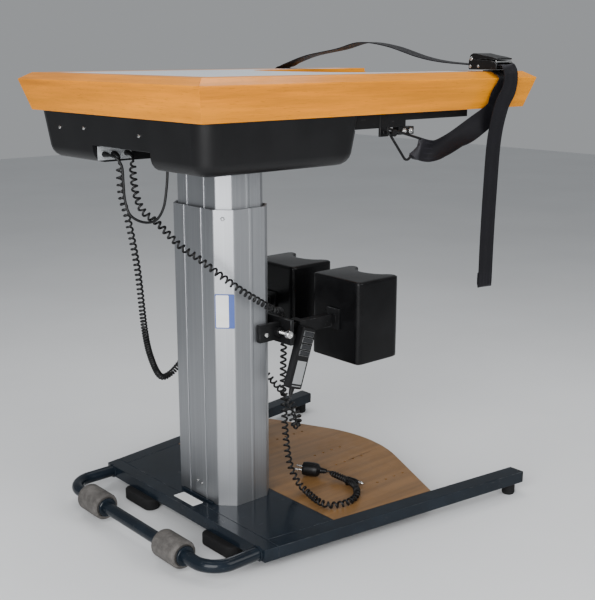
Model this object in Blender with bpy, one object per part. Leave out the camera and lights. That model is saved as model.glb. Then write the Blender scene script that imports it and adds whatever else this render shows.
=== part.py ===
"""Height-adjustable standing table: a lift column on a splayed base, a deep table top with a body
cut-out, knee supports, a hip strap, a hand control and its cords. Metres, +Z up, floor at z = 0.
Sizes along X are measured from the column's middle, towards the person who stands at the table."""
import math

import bmesh
import bpy
from mathutils import Matrix, Vector

# Clearances
CLEAR = 0.0003
RUNNING = 0.0006

# Base frame
PLATE_TOP = 0.050
PLATE_THICK = 0.006
BASE_FRONT = -0.118
BASE_HALF_WIDTH = 0.275
RAIL_SPLAY = math.radians(7.8)
RAIL_END = 0.534
RAIL_WIDTH = 0.035
RAIL_HEIGHT = 0.025
TUBE_WALL = 0.0025
CROSSBAR_DEPTH = 0.030
CAP_THICK = 0.004
DRAIN_RADIUS = 0.003
FRONT_FOOT_Y = 0.140
FRONT_FOOT_LENGTH = 0.100
FRONT_FOOT_WIDTH = 0.036
FRONT_FOOT_OVERHANG = 0.016
REAR_FOOT_RADIUS = 0.014
REAR_FOOT_INSET = 0.020

# Foot board
BOARD_FRONT = 0.065
BOARD_REAR = 0.4195
BOARD_ROUND = 0.280
BOARD_SLANT = math.radians(24.7)
BOARD_THICK = 0.012
REAR_BAR_X = 0.235
PEG_HOLE_RADIUS = 0.003
PEG_HOLE_X = 0.256
PEG_HOLE_PITCH = 0.026
PEG_HOLE_COUNT = 4
PEG_ROWS = (-0.196, -0.069, 0.002, 0.134)

# Transport handle and rollers
HANDLE_RADIUS = 0.0125
HANDLE_FRONT = -0.226
HANDLE_HALF_WIDTH = 0.255
HANDLE_BEND = 0.050
ROLLER_Y = 0.137
ROLLER_RADIUS = 0.0275
ROLLER_LENGTH = 0.070
COLLAR_RADIUS = 0.019
COLLAR_LENGTH = 0.006

# Lift column
COLUMN_HALF_X = 0.0664
COLUMN_HALF_Y = 0.093
COLUMN_CHAMFER = 0.028
COLUMN_WALL = 0.004
GROOVE_Y = 0.028
GROOVE_WIDTH = 0.004
GROOVE_DEPTH = 0.0018
FLANGE_THICK = 0.006
INNER_INSET = 0.0085
INNER_WALL = 0.0035
INNER_BOTTOM = 0.200
INNER_SHOWN = 0.088
INNER_HEAD_DROP = 0.033
GLIDE_LENGTH = 0.050
GLIDE_DROP = 0.0015
MOTOR_RADIUS = 0.036
MOTOR_LENGTH = 0.082
SPINDLE_RADIUS = 0.008
SPINDLE_DROP = 0.050
NUT_LENGTH = 0.030

# Table top
TABLE_TOP = 0.900
TABLE_FRONT = -0.263
TABLE_REAR = 0.595
TABLE_HALF_WIDTH = 0.302
RIM_HEIGHT = 0.072
RIM_DEPTH = 0.060
RIM_CHAMFER_IN = 0.021
RIM_CHAMFER_DOWN = 0.0125
RIM_UNDERCUT = 0.018
PANEL_THICK = 0.022
CUT_HALF_WIDTH = 0.180
CUT_FRONT = 0.190
CUT_CORNER = 0.110
LIPPING_THICK = 0.012
LIPPING_HEIGHT = 0.050

# Steel frame under the table
FRAME_THICK = 0.008
FRAME_HALF_X = 0.080
ARM_BAR_Y = 0.248
ARM_BAR_WIDTH = 0.020
ARM_BAR_HEIGHT = 0.027
ARM_BAR_THIN = 0.015
ARM_BAR_FRONT = -0.170
ARM_BAR_STEP = 0.250
ARM_BAR_END = 0.430

# Housing under the table
HOUSING_FRONT = -0.228
HOUSING_REAR = 0.115
HOUSING_HALF_WIDTH = 0.265
HOUSING_HEIGHT = 0.090
HOUSING_WALL = 0.003
HOUSING_CORNER = 0.036
HOUSING_EDGE = 0.022
NOTCH_FAR = 0.080
NOTCH_NEAR = -0.110
NOTCH_BACK = -0.078
NOTCH_HEIGHT = 0.033
NOTCH_ROUND = 0.020
COLUMN_HOLE_MARGIN = 0.004
BOOT_HEIGHT = 0.014
BOOT_WIDTH = 0.010
CONTROL_BOX = (0.120, 0.110, 0.044)

# Socket panel in the housing's recess
SOCKET_PANEL_THICK = 0.003
SOCKET_PANEL_X = (-0.222, -0.150)
SOCKET_PANEL_LOW = 0.004
SOCKET_PANEL_HIGH = 0.030
SOCKET_LENGTH = 0.008
SOCKET_RADIUS = 0.0065
SOCKET_HEIGHT = 0.016
LINK_SOCKET_X = -0.214
HANDSET_SOCKET_X = -0.194
MAINS_SOCKET_X = -0.166

# Hip strap, rings and buckle
RING_WIRE = 0.0025
RING_Y = 0.278
RING_TOP_X = 0.175
RING_TOP_DROP = 0.025
RING_LOW_X = 0.232
RING_LOW_DROP = 0.091
RING_BACK_X = 0.285
RING_BACK_DROP = 0.054
PIN_RADIUS = 0.003
PIN_HEAD_RADIUS = 0.0065
PIN_HEAD_LENGTH = 0.005
LUG_THICK = 0.005
STRAP_WIDTH = 0.043
STRAP_THICK = 0.0018
STRAP_STEPS = 3
STRAP_NEAR_CROSSING = 0.464
STRAP_FAR_CROSSING = 0.381
STRAP_LANDING = 0.024
STRAP_ARCH = 0.058
STRAP_TAIL = 0.354
BUCKLE_AHEAD = 0.020
BUCKLE_INSET = 0.032
BUCKLE_LENGTH = 0.070
BUCKLE_WIDTH = 0.056
BUCKLE_HEIGHT = 0.018
BUCKLE_SLOT = 0.005
LEVER_LENGTH = 0.062
LEVER_THICK = 0.007

# Knee supports
KNEE_Z = 0.400
KNEE_PLATE_HALF_Y = 0.135
KNEE_PLATE_HEIGHT = 0.052
KNEE_PLATE_THICK = 0.008
SLEEVE_Y = 0.106
SLEEVE_WIDTH = 0.018
SLEEVE_HEIGHT = 0.026
SLEEVE_WALL = 0.003
SLEEVE_LENGTH = 0.120
ARM_FLANGE_THICK = 0.005
ARM_FLANGE_HALF_Y = 0.018
ARM_FLANGE_HALF_Z = 0.022
CHEEK_FRONT = 0.014
CHEEK_THICK = 0.010
CHEEK_HEIGHT = 0.036
SCREW_X = 0.0585
SCREW_NECK_RADIUS = 0.004
SCREW_NECK_LENGTH = 0.031
SCREW_HEAD_RADIUS = 0.0082
SCREW_HEAD_LENGTH = 0.009
PAD_BACK = 0.215
PAD_DEPTH = 0.116
PAD_WIDTH = 0.135
PAD_GAP = 0.070
PAD_HEIGHT = 0.166
PAD_DROP = 0.002
PAD_CUP = 0.044
PAD_EDGE = 0.012
PAD_HORN = 0.010
PAD_SWELL = 0.003
PAD_CROWN = 0.004

# Hand control
HANDSET_LENGTH = 0.126
HANDSET_WIDTH = 0.036
HANDSET_THICK = 0.020
HANDSET_LEAN = math.radians(18.8)
HANDSET_X = 0.0912
HANDSET_Y = -0.1335
HANDSET_DROP = 0.0545
HANDSET_EDGE = 0.004
HANDSET_NOSE_LENGTH = 0.014
HANDSET_NOSE_RADIUS = 0.006
BUTTON_COUNT = 4
BUTTON_WIDTH = 0.025
BUTTON_HEIGHT = 0.0088
BUTTON_PITCH = 0.0133
BUTTON_FIRST = 0.050
BUTTON_PROUD = 0.0015
BUTTON_POCKET = 0.0045
BUTTON_THICK = 0.0045
HOOK_X = 0.108
HOOK_WIDTH = 0.016
HOOK_THICK = 0.003

# Cords
CURL_RADIUS = 0.0053
CURL_WIRE = 0.0022
CURL_POINTS = 8
HANDSET_CURLS = 30
HANDSET_TAIL_CURLS = 12
MAINS_CURLS = 38
LINK_RADIUS = 0.0025
PLUG_LENGTH = 0.052
PLUG_RADIUS = 0.015
PLUG_PIN_RADIUS = 0.0024
PLUG_PIN_LENGTH = 0.019
PLUG_PIN_SPACING = 0.019

# Where the column stands in the part's own frame, so that the table's outline is centred on it
COLUMN_X = -(TABLE_FRONT + TABLE_REAR) / 2

# Values that several pieces share
RAIL_BOTTOM = PLATE_TOP - RAIL_HEIGHT
COLUMN_BOTTOM = PLATE_TOP + CLEAR
RIM_BOTTOM = TABLE_TOP - RIM_HEIGHT
INNER_TOP = RIM_BOTTOM - INNER_HEAD_DROP
HOUSING_BOTTOM = RIM_BOTTOM - HOUSING_HEIGHT
NOTCH_TOP = HOUSING_BOTTOM + NOTCH_HEIGHT
SOCKET_Z = HOUSING_BOTTOM + SOCKET_HEIGHT
COLUMN_TOP = HOUSING_BOTTOM - INNER_SHOWN
SPINDLE_TOP = COLUMN_TOP - SPINDLE_DROP
FRAME_BOTTOM = INNER_TOP + CLEAR
FRAME_TOP = RIM_BOTTOM - CLEAR
HANDLE_Z = PLATE_TOP - RAIL_HEIGHT / 2
KNEE_PLATE_FRONT = COLUMN_HALF_X + 2 * CLEAR
KNEE_PLATE_BACK = KNEE_PLATE_FRONT + KNEE_PLATE_THICK
RING_TOP = (RING_TOP_X, RIM_BOTTOM - RING_TOP_DROP)
RING_LOW = (RING_LOW_X, RIM_BOTTOM - RING_LOW_DROP)
RING_BACK = (RING_BACK_X, RIM_BOTTOM - RING_BACK_DROP)
HANDSET_MIDDLE = (HANDSET_X, HANDSET_Y, KNEE_Z - HANDSET_DROP)
PAD_Z = KNEE_Z - PAD_DROP
BUCKLE_X = STRAP_NEAR_CROSSING + BUCKLE_AHEAD
BUCKLE_Y = BUCKLE_INSET - TABLE_HALF_WIDTH
SIDES = {"left": 1, "right": -1}

# Routes of the cords, chosen points in order, with heights from the socket, the knee and the plate
HANDSET_ROUTE = [
    (HANDSET_SOCKET_X, 0.050, SOCKET_Z - 0.005), (-0.197, 0.044, SOCKET_Z - 0.019),
    (-0.194, 0.050, SOCKET_Z - 0.049), (-0.184, 0.062, SOCKET_Z - 0.084), (-0.162, 0.078, SOCKET_Z - 0.134),
    (-0.133, 0.098, KNEE_Z + 0.118), (-0.110, 0.117, KNEE_Z - 0.010), (-0.092, 0.126, KNEE_Z - 0.075),
    (-0.066, 0.132, KNEE_Z - 0.124), (-0.036, 0.135, KNEE_Z - 0.124), (0.000, 0.136, KNEE_Z - 0.097)]
HANDSET_CORD_SPLIT = (0.030, 0.134, KNEE_Z - 0.075)
HANDSET_CORD_WAY = (0.90, -0.14, 0.41)
HANDSET_TAIL_ROUTE = [
    (0.064, 0.124, KNEE_Z - 0.064), (0.096, 0.092, KNEE_Z - 0.075), (0.110, 0.045, KNEE_Z - 0.100),
    (0.116, -0.010, KNEE_Z - 0.132), (0.118, -0.065, KNEE_Z - 0.165), (0.108, -0.110, KNEE_Z - 0.190),
    (0.080, -0.132, KNEE_Z - 0.196)]
MAINS_ROUTE = [
    (MAINS_SOCKET_X, 0.048, SOCKET_Z - 0.007), (-0.174, 0.036, SOCKET_Z - 0.029),
    (-0.180, 0.020, SOCKET_Z - 0.069), (-0.177, 0.002, SOCKET_Z - 0.102), (-0.160, -0.020, SOCKET_Z - 0.124),
    (-0.132, -0.047, KNEE_Z + 0.189), (-0.112, -0.080, KNEE_Z + 0.166), (-0.086, -0.103, KNEE_Z + 0.138),
    (-0.042, -0.116, KNEE_Z + 0.101), (0.012, -0.116, KNEE_Z + 0.066), (0.046, -0.110, KNEE_Z + 0.046),
    (0.074, -0.094, KNEE_Z + 0.0365), (0.097, -0.076, KNEE_Z + 0.012), (0.096, -0.079, KNEE_Z - 0.035),
    (0.088, -0.086, KNEE_Z - 0.100), (0.086, -0.090, KNEE_Z - 0.162), (0.088, -0.096, PLATE_TOP + 0.103),
    (0.094, -0.103, PLATE_TOP + 0.050), (0.102, -0.118, PLATE_TOP + 0.018),
    (0.100, -0.147, PLATE_TOP + 0.0085), (0.088, -0.190, PLATE_TOP + 0.0085),
    (0.090, -0.222, PLATE_TOP + 0.0085), (0.120, -0.238, PLATE_TOP + 0.0085),
    (0.158, -0.230, PLATE_TOP + 0.0085), (0.190, -0.198, PLATE_TOP + 0.009),
    (0.200, -0.158, PLATE_TOP + 0.010), (0.193, -0.126, PLATE_TOP + 0.0145)]
LINK_ROUTE = [
    (LINK_SOCKET_X, 0.030, SOCKET_Z - 0.003), (-0.206, 0.022, SOCKET_Z - 0.019),
    (-0.204, 0.022, SOCKET_Z - 0.049), (-0.202, 0.022, SOCKET_Z - 0.082), (-0.198, 0.012, SOCKET_Z - 0.109),
    (-0.188, -0.014, SOCKET_Z - 0.120), (-0.180, -0.044, SOCKET_Z - 0.114),
    (-0.174, -0.062, SOCKET_Z - 0.090), (-0.170, -0.068, SOCKET_Z - 0.054),
    (-0.168, -0.070, SOCKET_Z - 0.019)]


def clear_scene():
    for item in list(bpy.data.objects):
        bpy.data.objects.remove(item, do_unlink=True)


def make_material(name, colour, roughness, metallic=0.0):
    material = bpy.data.materials.new(name)
    material.use_nodes = True
    shader = material.node_tree.nodes["Principled BSDF"]
    shader.inputs["Base Color"].default_value = (*colour, 1.0)
    shader.inputs["Roughness"].default_value = roughness
    shader.inputs["Metallic"].default_value = metallic
    return material


def make_empty(name, place, parent=None):
    """An empty on a joint's axis, given in the parent's own frame."""
    empty = bpy.data.objects.new(name, None)
    bpy.context.scene.collection.objects.link(empty)
    empty.location = place
    empty.parent = parent
    return empty


def attach(item, holder, offset=(0, 0, 0)):
    """Parent a piece whose mesh is drawn in the stand's frame to an empty that sits at offset in it."""
    item.parent = holder
    item.matrix_parent_inverse = Matrix.Translation(-Vector(offset))


def add_mesh(name, mesh_builder, material):
    mesh = bpy.data.meshes.new(name)
    bmesh.ops.recalc_face_normals(mesh_builder, faces=mesh_builder.faces)
    mesh_builder.to_mesh(mesh)
    mesh_builder.free()
    item = bpy.data.objects.new(name, mesh)
    bpy.context.scene.collection.objects.link(item)
    mesh.materials.append(material)
    return item


def prism(outline, bottom, top):
    """A bmesh prism on a closed outline of (x, y) points."""
    builder = bmesh.new()
    corners = [builder.verts.new((x, y, bottom)) for x, y in outline]
    face = builder.faces.new(corners)
    grown = bmesh.ops.extrude_face_region(builder, geom=[face])
    raised = [part for part in grown["geom"] if isinstance(part, bmesh.types.BMVert)]
    bmesh.ops.translate(builder, vec=(0, 0, top - bottom), verts=raised)
    bmesh.ops.recalc_face_normals(builder, faces=builder.faces)
    return builder


def block(low, high):
    """A bmesh box between two corners."""
    outline = [(low[0], low[1]), (high[0], low[1]), (high[0], high[1]), (low[0], high[1])]
    return prism(outline, low[2], high[2])


def round_edges(builder, width, segments, chosen=None):
    """Bevel the chosen edges, or every sharp one."""
    edges = [edge for edge in builder.edges if chosen is None or chosen(edge)]
    bmesh.ops.bevel(builder, geom=edges, offset=width, segments=segments, profile=0.5, affect="EDGES")
    return builder


def is_upright(edge):
    return abs(edge.verts[0].co.z - edge.verts[1].co.z) > 0.5 * edge.calc_length()


def is_below(level):
    return lambda edge: max(vert.co.z for vert in edge.verts) < level


def turned(profile, sides, place, axis):
    """A solid of revolution: profile is (radius, height) points along axis, from one end to the other."""
    builder = bmesh.new()
    turn = Vector((0, 0, 1)).rotation_difference(Vector(axis)).to_matrix()
    rings = []
    for radius, height in profile:
        ring = []
        for step in range(sides):
            angle = 2 * math.pi * step / sides
            point = Vector((radius * math.cos(angle), radius * math.sin(angle), height))
            ring.append(builder.verts.new(turn @ point + Vector(place)))
        rings.append(ring)
    join_rings(builder, rings)
    builder.faces.new(rings[0])
    builder.faces.new(rings[-1])
    bmesh.ops.recalc_face_normals(builder, faces=builder.faces)
    return builder


def join_rings(builder, rings, closed=False):
    count = len(rings[0])
    pairs = list(zip(rings, rings[1:]))
    if closed:
        pairs.append((rings[-1], rings[0]))
    for first, second in pairs:
        for step in range(count):
            after = (step + 1) % count
            builder.faces.new((first[step], first[after], second[after], second[step]))


def swept(path, radii, sides, closed=False):
    """A round bar along a path, with one radius for each of its points."""
    builder = bmesh.new()
    rings = []
    count = len(path)
    normal = None
    for index, (point, radius) in enumerate(zip(path, radii)):
        ahead = path[(index + 1) % count] if closed else path[min(index + 1, count - 1)]
        behind = path[index - 1] if closed or index else path[0]
        along = (Vector(ahead) - Vector(behind)).normalized()
        if normal is None:
            normal = along.orthogonal().normalized()
        normal = (normal - along * normal.dot(along)).normalized()
        side = along.cross(normal)
        ring = []
        for step in range(sides):
            angle = 2 * math.pi * step / sides
            offset = normal * math.cos(angle) + side * math.sin(angle)
            ring.append(builder.verts.new(Vector(point) + offset * radius))
        rings.append(ring)
    join_rings(builder, rings, closed)
    if not closed:
        builder.faces.new(rings[0])
        builder.faces.new(rings[-1])
    return builder


def combine(item, tool, operation):
    """Cut a tool from a piece, or join it on, and remove the tool."""
    change = item.modifiers.new(operation.lower(), "BOOLEAN")
    change.operation = operation
    change.object = tool
    change.solver = "EXACT"
    scene_graph = bpy.context.evaluated_depsgraph_get()
    scene_graph.update()
    result = bpy.data.meshes.new_from_object(item.evaluated_get(scene_graph))
    item.modifiers.remove(change)
    old_mesh = item.data
    item.data = result
    result.name = item.name
    bpy.data.meshes.remove(old_mesh)
    bpy.data.objects.remove(tool, do_unlink=True)
    return item


def cut(item, builder):
    return combine(item, add_mesh("tool", builder, item.data.materials[0]), "DIFFERENCE")


def join(item, builder):
    return combine(item, add_mesh("tool", builder, item.data.materials[0]), "UNION")


def arc_points(centre, radius, start, end, steps):
    points = []
    for step in range(steps + 1):
        angle = start + (end - start) * step / steps
        points.append((centre[0] + radius * math.cos(angle), centre[1] + radius * math.sin(angle)))
    return points


def rounded_rectangle(x0, x1, y0, y1, radius, steps=4):
    quarter = math.pi / 2
    points = []
    points += arc_points((x1 - radius, y1 - radius), radius, 0, quarter, steps)
    points += arc_points((x0 + radius, y1 - radius), radius, quarter, 2 * quarter, steps)
    points += arc_points((x0 + radius, y0 + radius), radius, 2 * quarter, 3 * quarter, steps)
    points += arc_points((x1 - radius, y0 + radius), radius, 3 * quarter, 4 * quarter, steps)
    return points


def between(a, b, c, d, t):
    """A point on the smooth curve from b to c, with a before them and d after them."""
    square = 2 * a - 5 * b + 4 * c - d
    cube = 3 * b - a - 3 * c + d
    return 0.5 * (2 * b + (c - a) * t + square * t ** 2 + cube * t ** 3)


def smooth_route(points, count):
    """Evenly spaced points on a smooth curve through the route's own points."""
    route = [Vector(point) for point in points]
    route = [2 * route[0] - route[1]] + route + [2 * route[-1] - route[-2]]
    dense = []
    for a, b, c, d in zip(route, route[1:], route[2:], route[3:]):
        for step in range(24):
            dense.append(between(a, b, c, d, step / 24))
    dense.append(route[-2])
    reach = [0.0]
    for first, second in zip(dense, dense[1:]):
        reach.append(reach[-1] + (second - first).length)
    spaced = []
    index = 0
    for step in range(count):
        target = reach[-1] * step / (count - 1)
        while index < len(reach) - 2 and reach[index + 1] < target:
            index += 1
        share = (target - reach[index]) / (reach[index + 1] - reach[index])
        spaced.append(dense[index].lerp(dense[index + 1], min(share, 1.0)))
    return spaced


def curled(points, curls):
    """A helix of so many curls wound along a route, with straight ends."""
    count = curls * CURL_POINTS + 1
    middle = smooth_route(points, count)
    path = []
    normal = Vector((0, 0, 1))
    for index, point in enumerate(middle):
        along = (middle[min(index + 1, count - 1)] - middle[max(index - 1, 0)]).normalized()
        if index == 0:
            normal = along.orthogonal()
        normal = (normal - along * normal.dot(along)).normalized()
        side = along.cross(normal)
        grown = min(1.0, max(0, min(index, count - 1 - index) - 2) / CURL_POINTS)
        angle = 2 * math.pi * index / CURL_POINTS
        path.append(point + CURL_RADIUS * grown * (normal * math.cos(angle) + side * math.sin(angle)))
    return path


def least_self_gap(path, wire_radius, skip):
    nearest = min((first - second).length
                  for index, first in enumerate(path) for second in path[index + skip:])
    return nearest - 2 * wire_radius


def cord(name, path, radius, resolution, material):
    curve = bpy.data.curves.new(name, "CURVE")
    curve.dimensions = "3D"
    curve.bevel_depth = radius
    curve.bevel_resolution = resolution
    curve.use_fill_caps = True
    spline = curve.splines.new("POLY")
    spline.points.add(len(path) - 1)
    for spot, point in zip(spline.points, path):
        spot.co = (*point, 1.0)
    curve.materials.append(material)
    item = bpy.data.objects.new(name, curve)
    bpy.context.scene.collection.objects.link(item)
    return item


def rail_outer(x):
    return BASE_HALF_WIDTH + (x - BASE_FRONT) * math.tan(RAIL_SPLAY)


def rail_inner(x):
    return rail_outer(x) - RAIL_WIDTH / math.cos(RAIL_SPLAY)


def column_outline(inset):
    """The column's chamfered rectangle, drawn in by so much all round."""
    half_x = COLUMN_HALF_X - inset
    half_y = COLUMN_HALF_Y - inset
    chamfer = COLUMN_CHAMFER - inset * (2 - math.sqrt(2))
    return [(half_x, half_y - chamfer), (half_x - chamfer, half_y), (chamfer - half_x, half_y),
            (-half_x, half_y - chamfer), (-half_x, chamfer - half_y), (chamfer - half_x, -half_y),
            (half_x - chamfer, -half_y), (half_x, chamfer - half_y)]


def cut_outline(grow, rear):
    """The body cut-out's edge, moved into the table by so much, from one arm's end to the other's."""
    half = CUT_HALF_WIDTH + grow
    front = CUT_FRONT - grow
    corner = CUT_CORNER + grow
    points = [(rear, half)]
    points += arc_points((front + corner, half - corner), corner, math.pi / 2, math.pi, 8)
    points += arc_points((front + corner, corner - half), corner, math.pi, 1.5 * math.pi, 8)
    points.append((rear, -half))
    return points


def build_base(paints, stand):
    steel = paints["base_steel"]
    rubber = paints["rubber"]
    bar_back = BASE_FRONT + CROSSBAR_DEPTH
    rail_front = bar_back + CLEAR

    def hollow_bar(name, outline, inner, top, drain=0):
        bar = add_mesh(name, prism(outline, RAIL_BOTTOM, top), steel)
        cut(bar, prism(inner, RAIL_BOTTOM + TUBE_WALL, top - TUBE_WALL))
        if drain:
            hole = [(drain, RAIL_BOTTOM - 0.01), (drain, RAIL_BOTTOM + RAIL_HEIGHT / 2)]
            cut(bar, turned(hole, 10, (BASE_FRONT + CROSSBAR_DEPTH / 2, 0, 0), (0, 0, 1)))
        attach(bar, stand)

    for name, sign in SIDES.items():
        far = RAIL_END + 0.01
        near = rail_front - 0.01
        wall = TUBE_WALL / math.cos(RAIL_SPLAY)
        hollow_bar(f"base_rail_{name}",
                   [(rail_front, sign * rail_inner(rail_front)), (RAIL_END, sign * rail_inner(RAIL_END)),
                    (RAIL_END, sign * rail_outer(RAIL_END)), (rail_front, sign * rail_outer(rail_front))],
                   [(near, sign * (rail_inner(near) + wall)), (far, sign * (rail_inner(far) + wall)),
                    (far, sign * (rail_outer(far) - wall)), (near, sign * (rail_outer(near) - wall))],
                   PLATE_TOP)
        cap_front = RAIL_END + CLEAR
        cap_back = cap_front + CAP_THICK
        cap = add_mesh(f"rail_cap_{name}", prism(
            [(cap_front, sign * rail_inner(RAIL_END)), (cap_back, sign * rail_inner(RAIL_END)),
             (cap_back, sign * rail_outer(RAIL_END)), (cap_front, sign * rail_outer(RAIL_END))],
            RAIL_BOTTOM, PLATE_TOP), rubber)
        attach(cap, stand)

        foot_x = RAIL_END - REAR_FOOT_INSET
        foot_y = sign * (rail_inner(foot_x) + rail_outer(foot_x)) / 2
        foot_top = RAIL_BOTTOM - CLEAR
        foot = add_mesh(f"rear_foot_{name}", turned(
            [(REAR_FOOT_RADIUS * 0.85, 0), (REAR_FOOT_RADIUS, 0.004), (REAR_FOOT_RADIUS, foot_top)],
            16, (foot_x, foot_y, 0), (0, 0, 1)), rubber)
        attach(foot, stand)

        foot_front = BASE_FRONT - FRONT_FOOT_OVERHANG
        outline = rounded_rectangle(
            foot_front, foot_front + FRONT_FOOT_WIDTH, sign * FRONT_FOOT_Y - FRONT_FOOT_LENGTH / 2,
            sign * FRONT_FOOT_Y + FRONT_FOOT_LENGTH / 2, FRONT_FOOT_WIDTH * 0.45)
        foot = add_mesh(f"front_foot_{name}", prism(outline, 0, foot_top), rubber)
        attach(foot, stand)

    def cross_outline(front, back, edge):
        return [(front, -edge(front)), (back, -edge(back)), (back, edge(back)), (front, edge(front))]

    hollow_bar("front_crossbar", cross_outline(BASE_FRONT, bar_back, rail_outer),
               cross_outline(BASE_FRONT + TUBE_WALL, bar_back - TUBE_WALL,
                             lambda x: rail_outer(x) - TUBE_WALL),
               PLATE_TOP, DRAIN_RADIUS)

    def inside(x):
        return rail_inner(x) - CLEAR

    plate_back = BOARD_FRONT - CLEAR
    plate = add_mesh("base_plate", prism(cross_outline(rail_front, plate_back, inside),
                                         PLATE_TOP - PLATE_THICK, PLATE_TOP), steel)
    attach(plate, stand)
    under_board = PLATE_TOP - BOARD_THICK - CLEAR
    for name, middle in (("middle_crossbar", BOARD_FRONT), ("rear_crossbar", REAR_BAR_X)):
        front = middle - CROSSBAR_DEPTH / 2
        back = middle + CROSSBAR_DEPTH / 2
        bar = add_mesh(name, prism(cross_outline(front, back, inside), RAIL_BOTTOM, under_board), steel)
        if middle == BOARD_FRONT:
            ledge = PLATE_TOP - PLATE_THICK - CLEAR
            join(bar, block((front, -COLUMN_HALF_Y, under_board - 0.002),
                            (plate_back, COLUMN_HALF_Y, ledge)))
        attach(bar, stand)

    build_foot_board(paints["plywood"], inside, stand)
    build_handle(paints, stand)


def build_foot_board(wood, inside, stand):
    """The plywood board between the rails, with a rounded rear and slanted corners, drilled for pegs."""
    front = BOARD_FRONT + CLEAR
    fall = math.tan(BOARD_SLANT)
    rear = arc_points((BOARD_REAR - BOARD_ROUND, 0), BOARD_ROUND, -BOARD_SLANT, BOARD_SLANT, 12)
    bend_x, bend_y = rear[-1]
    run = (bend_x + (bend_y - inside(0)) * fall) / (1 + fall * math.tan(RAIL_SPLAY))
    outline = ([(front, -inside(front)), (run, -inside(run))] + rear
               + [(run, inside(run)), (front, inside(front))])
    board = add_mesh("foot_board", prism(outline, PLATE_TOP - BOARD_THICK, PLATE_TOP), wood)
    for row in PEG_ROWS:
        for index in range(PEG_HOLE_COUNT):
            x = PEG_HOLE_X + index * PEG_HOLE_PITCH
            hole = [(PEG_HOLE_RADIUS, PLATE_TOP - BOARD_THICK - 0.01), (PEG_HOLE_RADIUS, PLATE_TOP + 0.01)]
            cut(board, turned(hole, 8, (x, row, 0), (0, 0, 1)))
    attach(board, stand)


def build_handle(paints, stand):
    """The bent tube across the front, with stop collars that keep the two rollers in place."""
    start = BASE_FRONT - CLEAR
    bend_x = HANDLE_FRONT + HANDLE_BEND
    bend_y = HANDLE_HALF_WIDTH - HANDLE_BEND
    bend = arc_points((bend_x, bend_y), HANDLE_BEND, math.pi / 2, math.pi, 6)
    path = [(start, HANDLE_HALF_WIDTH)] + bend
    radii = [HANDLE_RADIUS] * len(path)
    for middle in (ROLLER_Y, -ROLLER_Y):
        reach = ROLLER_LENGTH / 2 + RUNNING
        for side in (1, -1):
            edges = [middle + side * reach, middle + side * (reach + COLLAR_LENGTH)]
            for edge, turn in zip(sorted(edges, reverse=True), (1, -1)):
                meeting = [(HANDLE_FRONT, edge + turn * CLEAR / 2), (HANDLE_FRONT, edge - turn * CLEAR / 2)]
                path += meeting[::turn]
                radii += [HANDLE_RADIUS, COLLAR_RADIUS] if turn == 1 else [COLLAR_RADIUS, HANDLE_RADIUS]
    path += [(x, -y) for x, y in reversed(bend)] + [(start, -HANDLE_HALF_WIDTH)]
    radii += [HANDLE_RADIUS] * (len(bend) + 1)
    tube = swept([(x, y, HANDLE_Z) for x, y in path], radii, 12)
    handle = add_mesh("transport_handle", tube, paints["base_steel"])
    attach(handle, stand)

    half = ROLLER_LENGTH / 2
    edge = ROLLER_RADIUS * 0.12
    bore = HANDLE_RADIUS + RUNNING
    profile = [(ROLLER_RADIUS - edge, -half), (ROLLER_RADIUS, -half + edge), (ROLLER_RADIUS, half - edge),
               (ROLLER_RADIUS - edge, half)]
    for name, sign in SIDES.items():
        place = (HANDLE_FRONT, sign * ROLLER_Y, HANDLE_Z)
        roller = add_mesh(f"roller_{name}", turned(profile, 20, place, (0, 1, 0)), paints["roller"])
        cut(roller, turned([(bore, -half - 0.01), (bore, half + 0.01)], 20, place, (0, 1, 0)))
        attach(roller, make_empty(f"roller_{name}_axis", place, stand), place)


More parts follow.
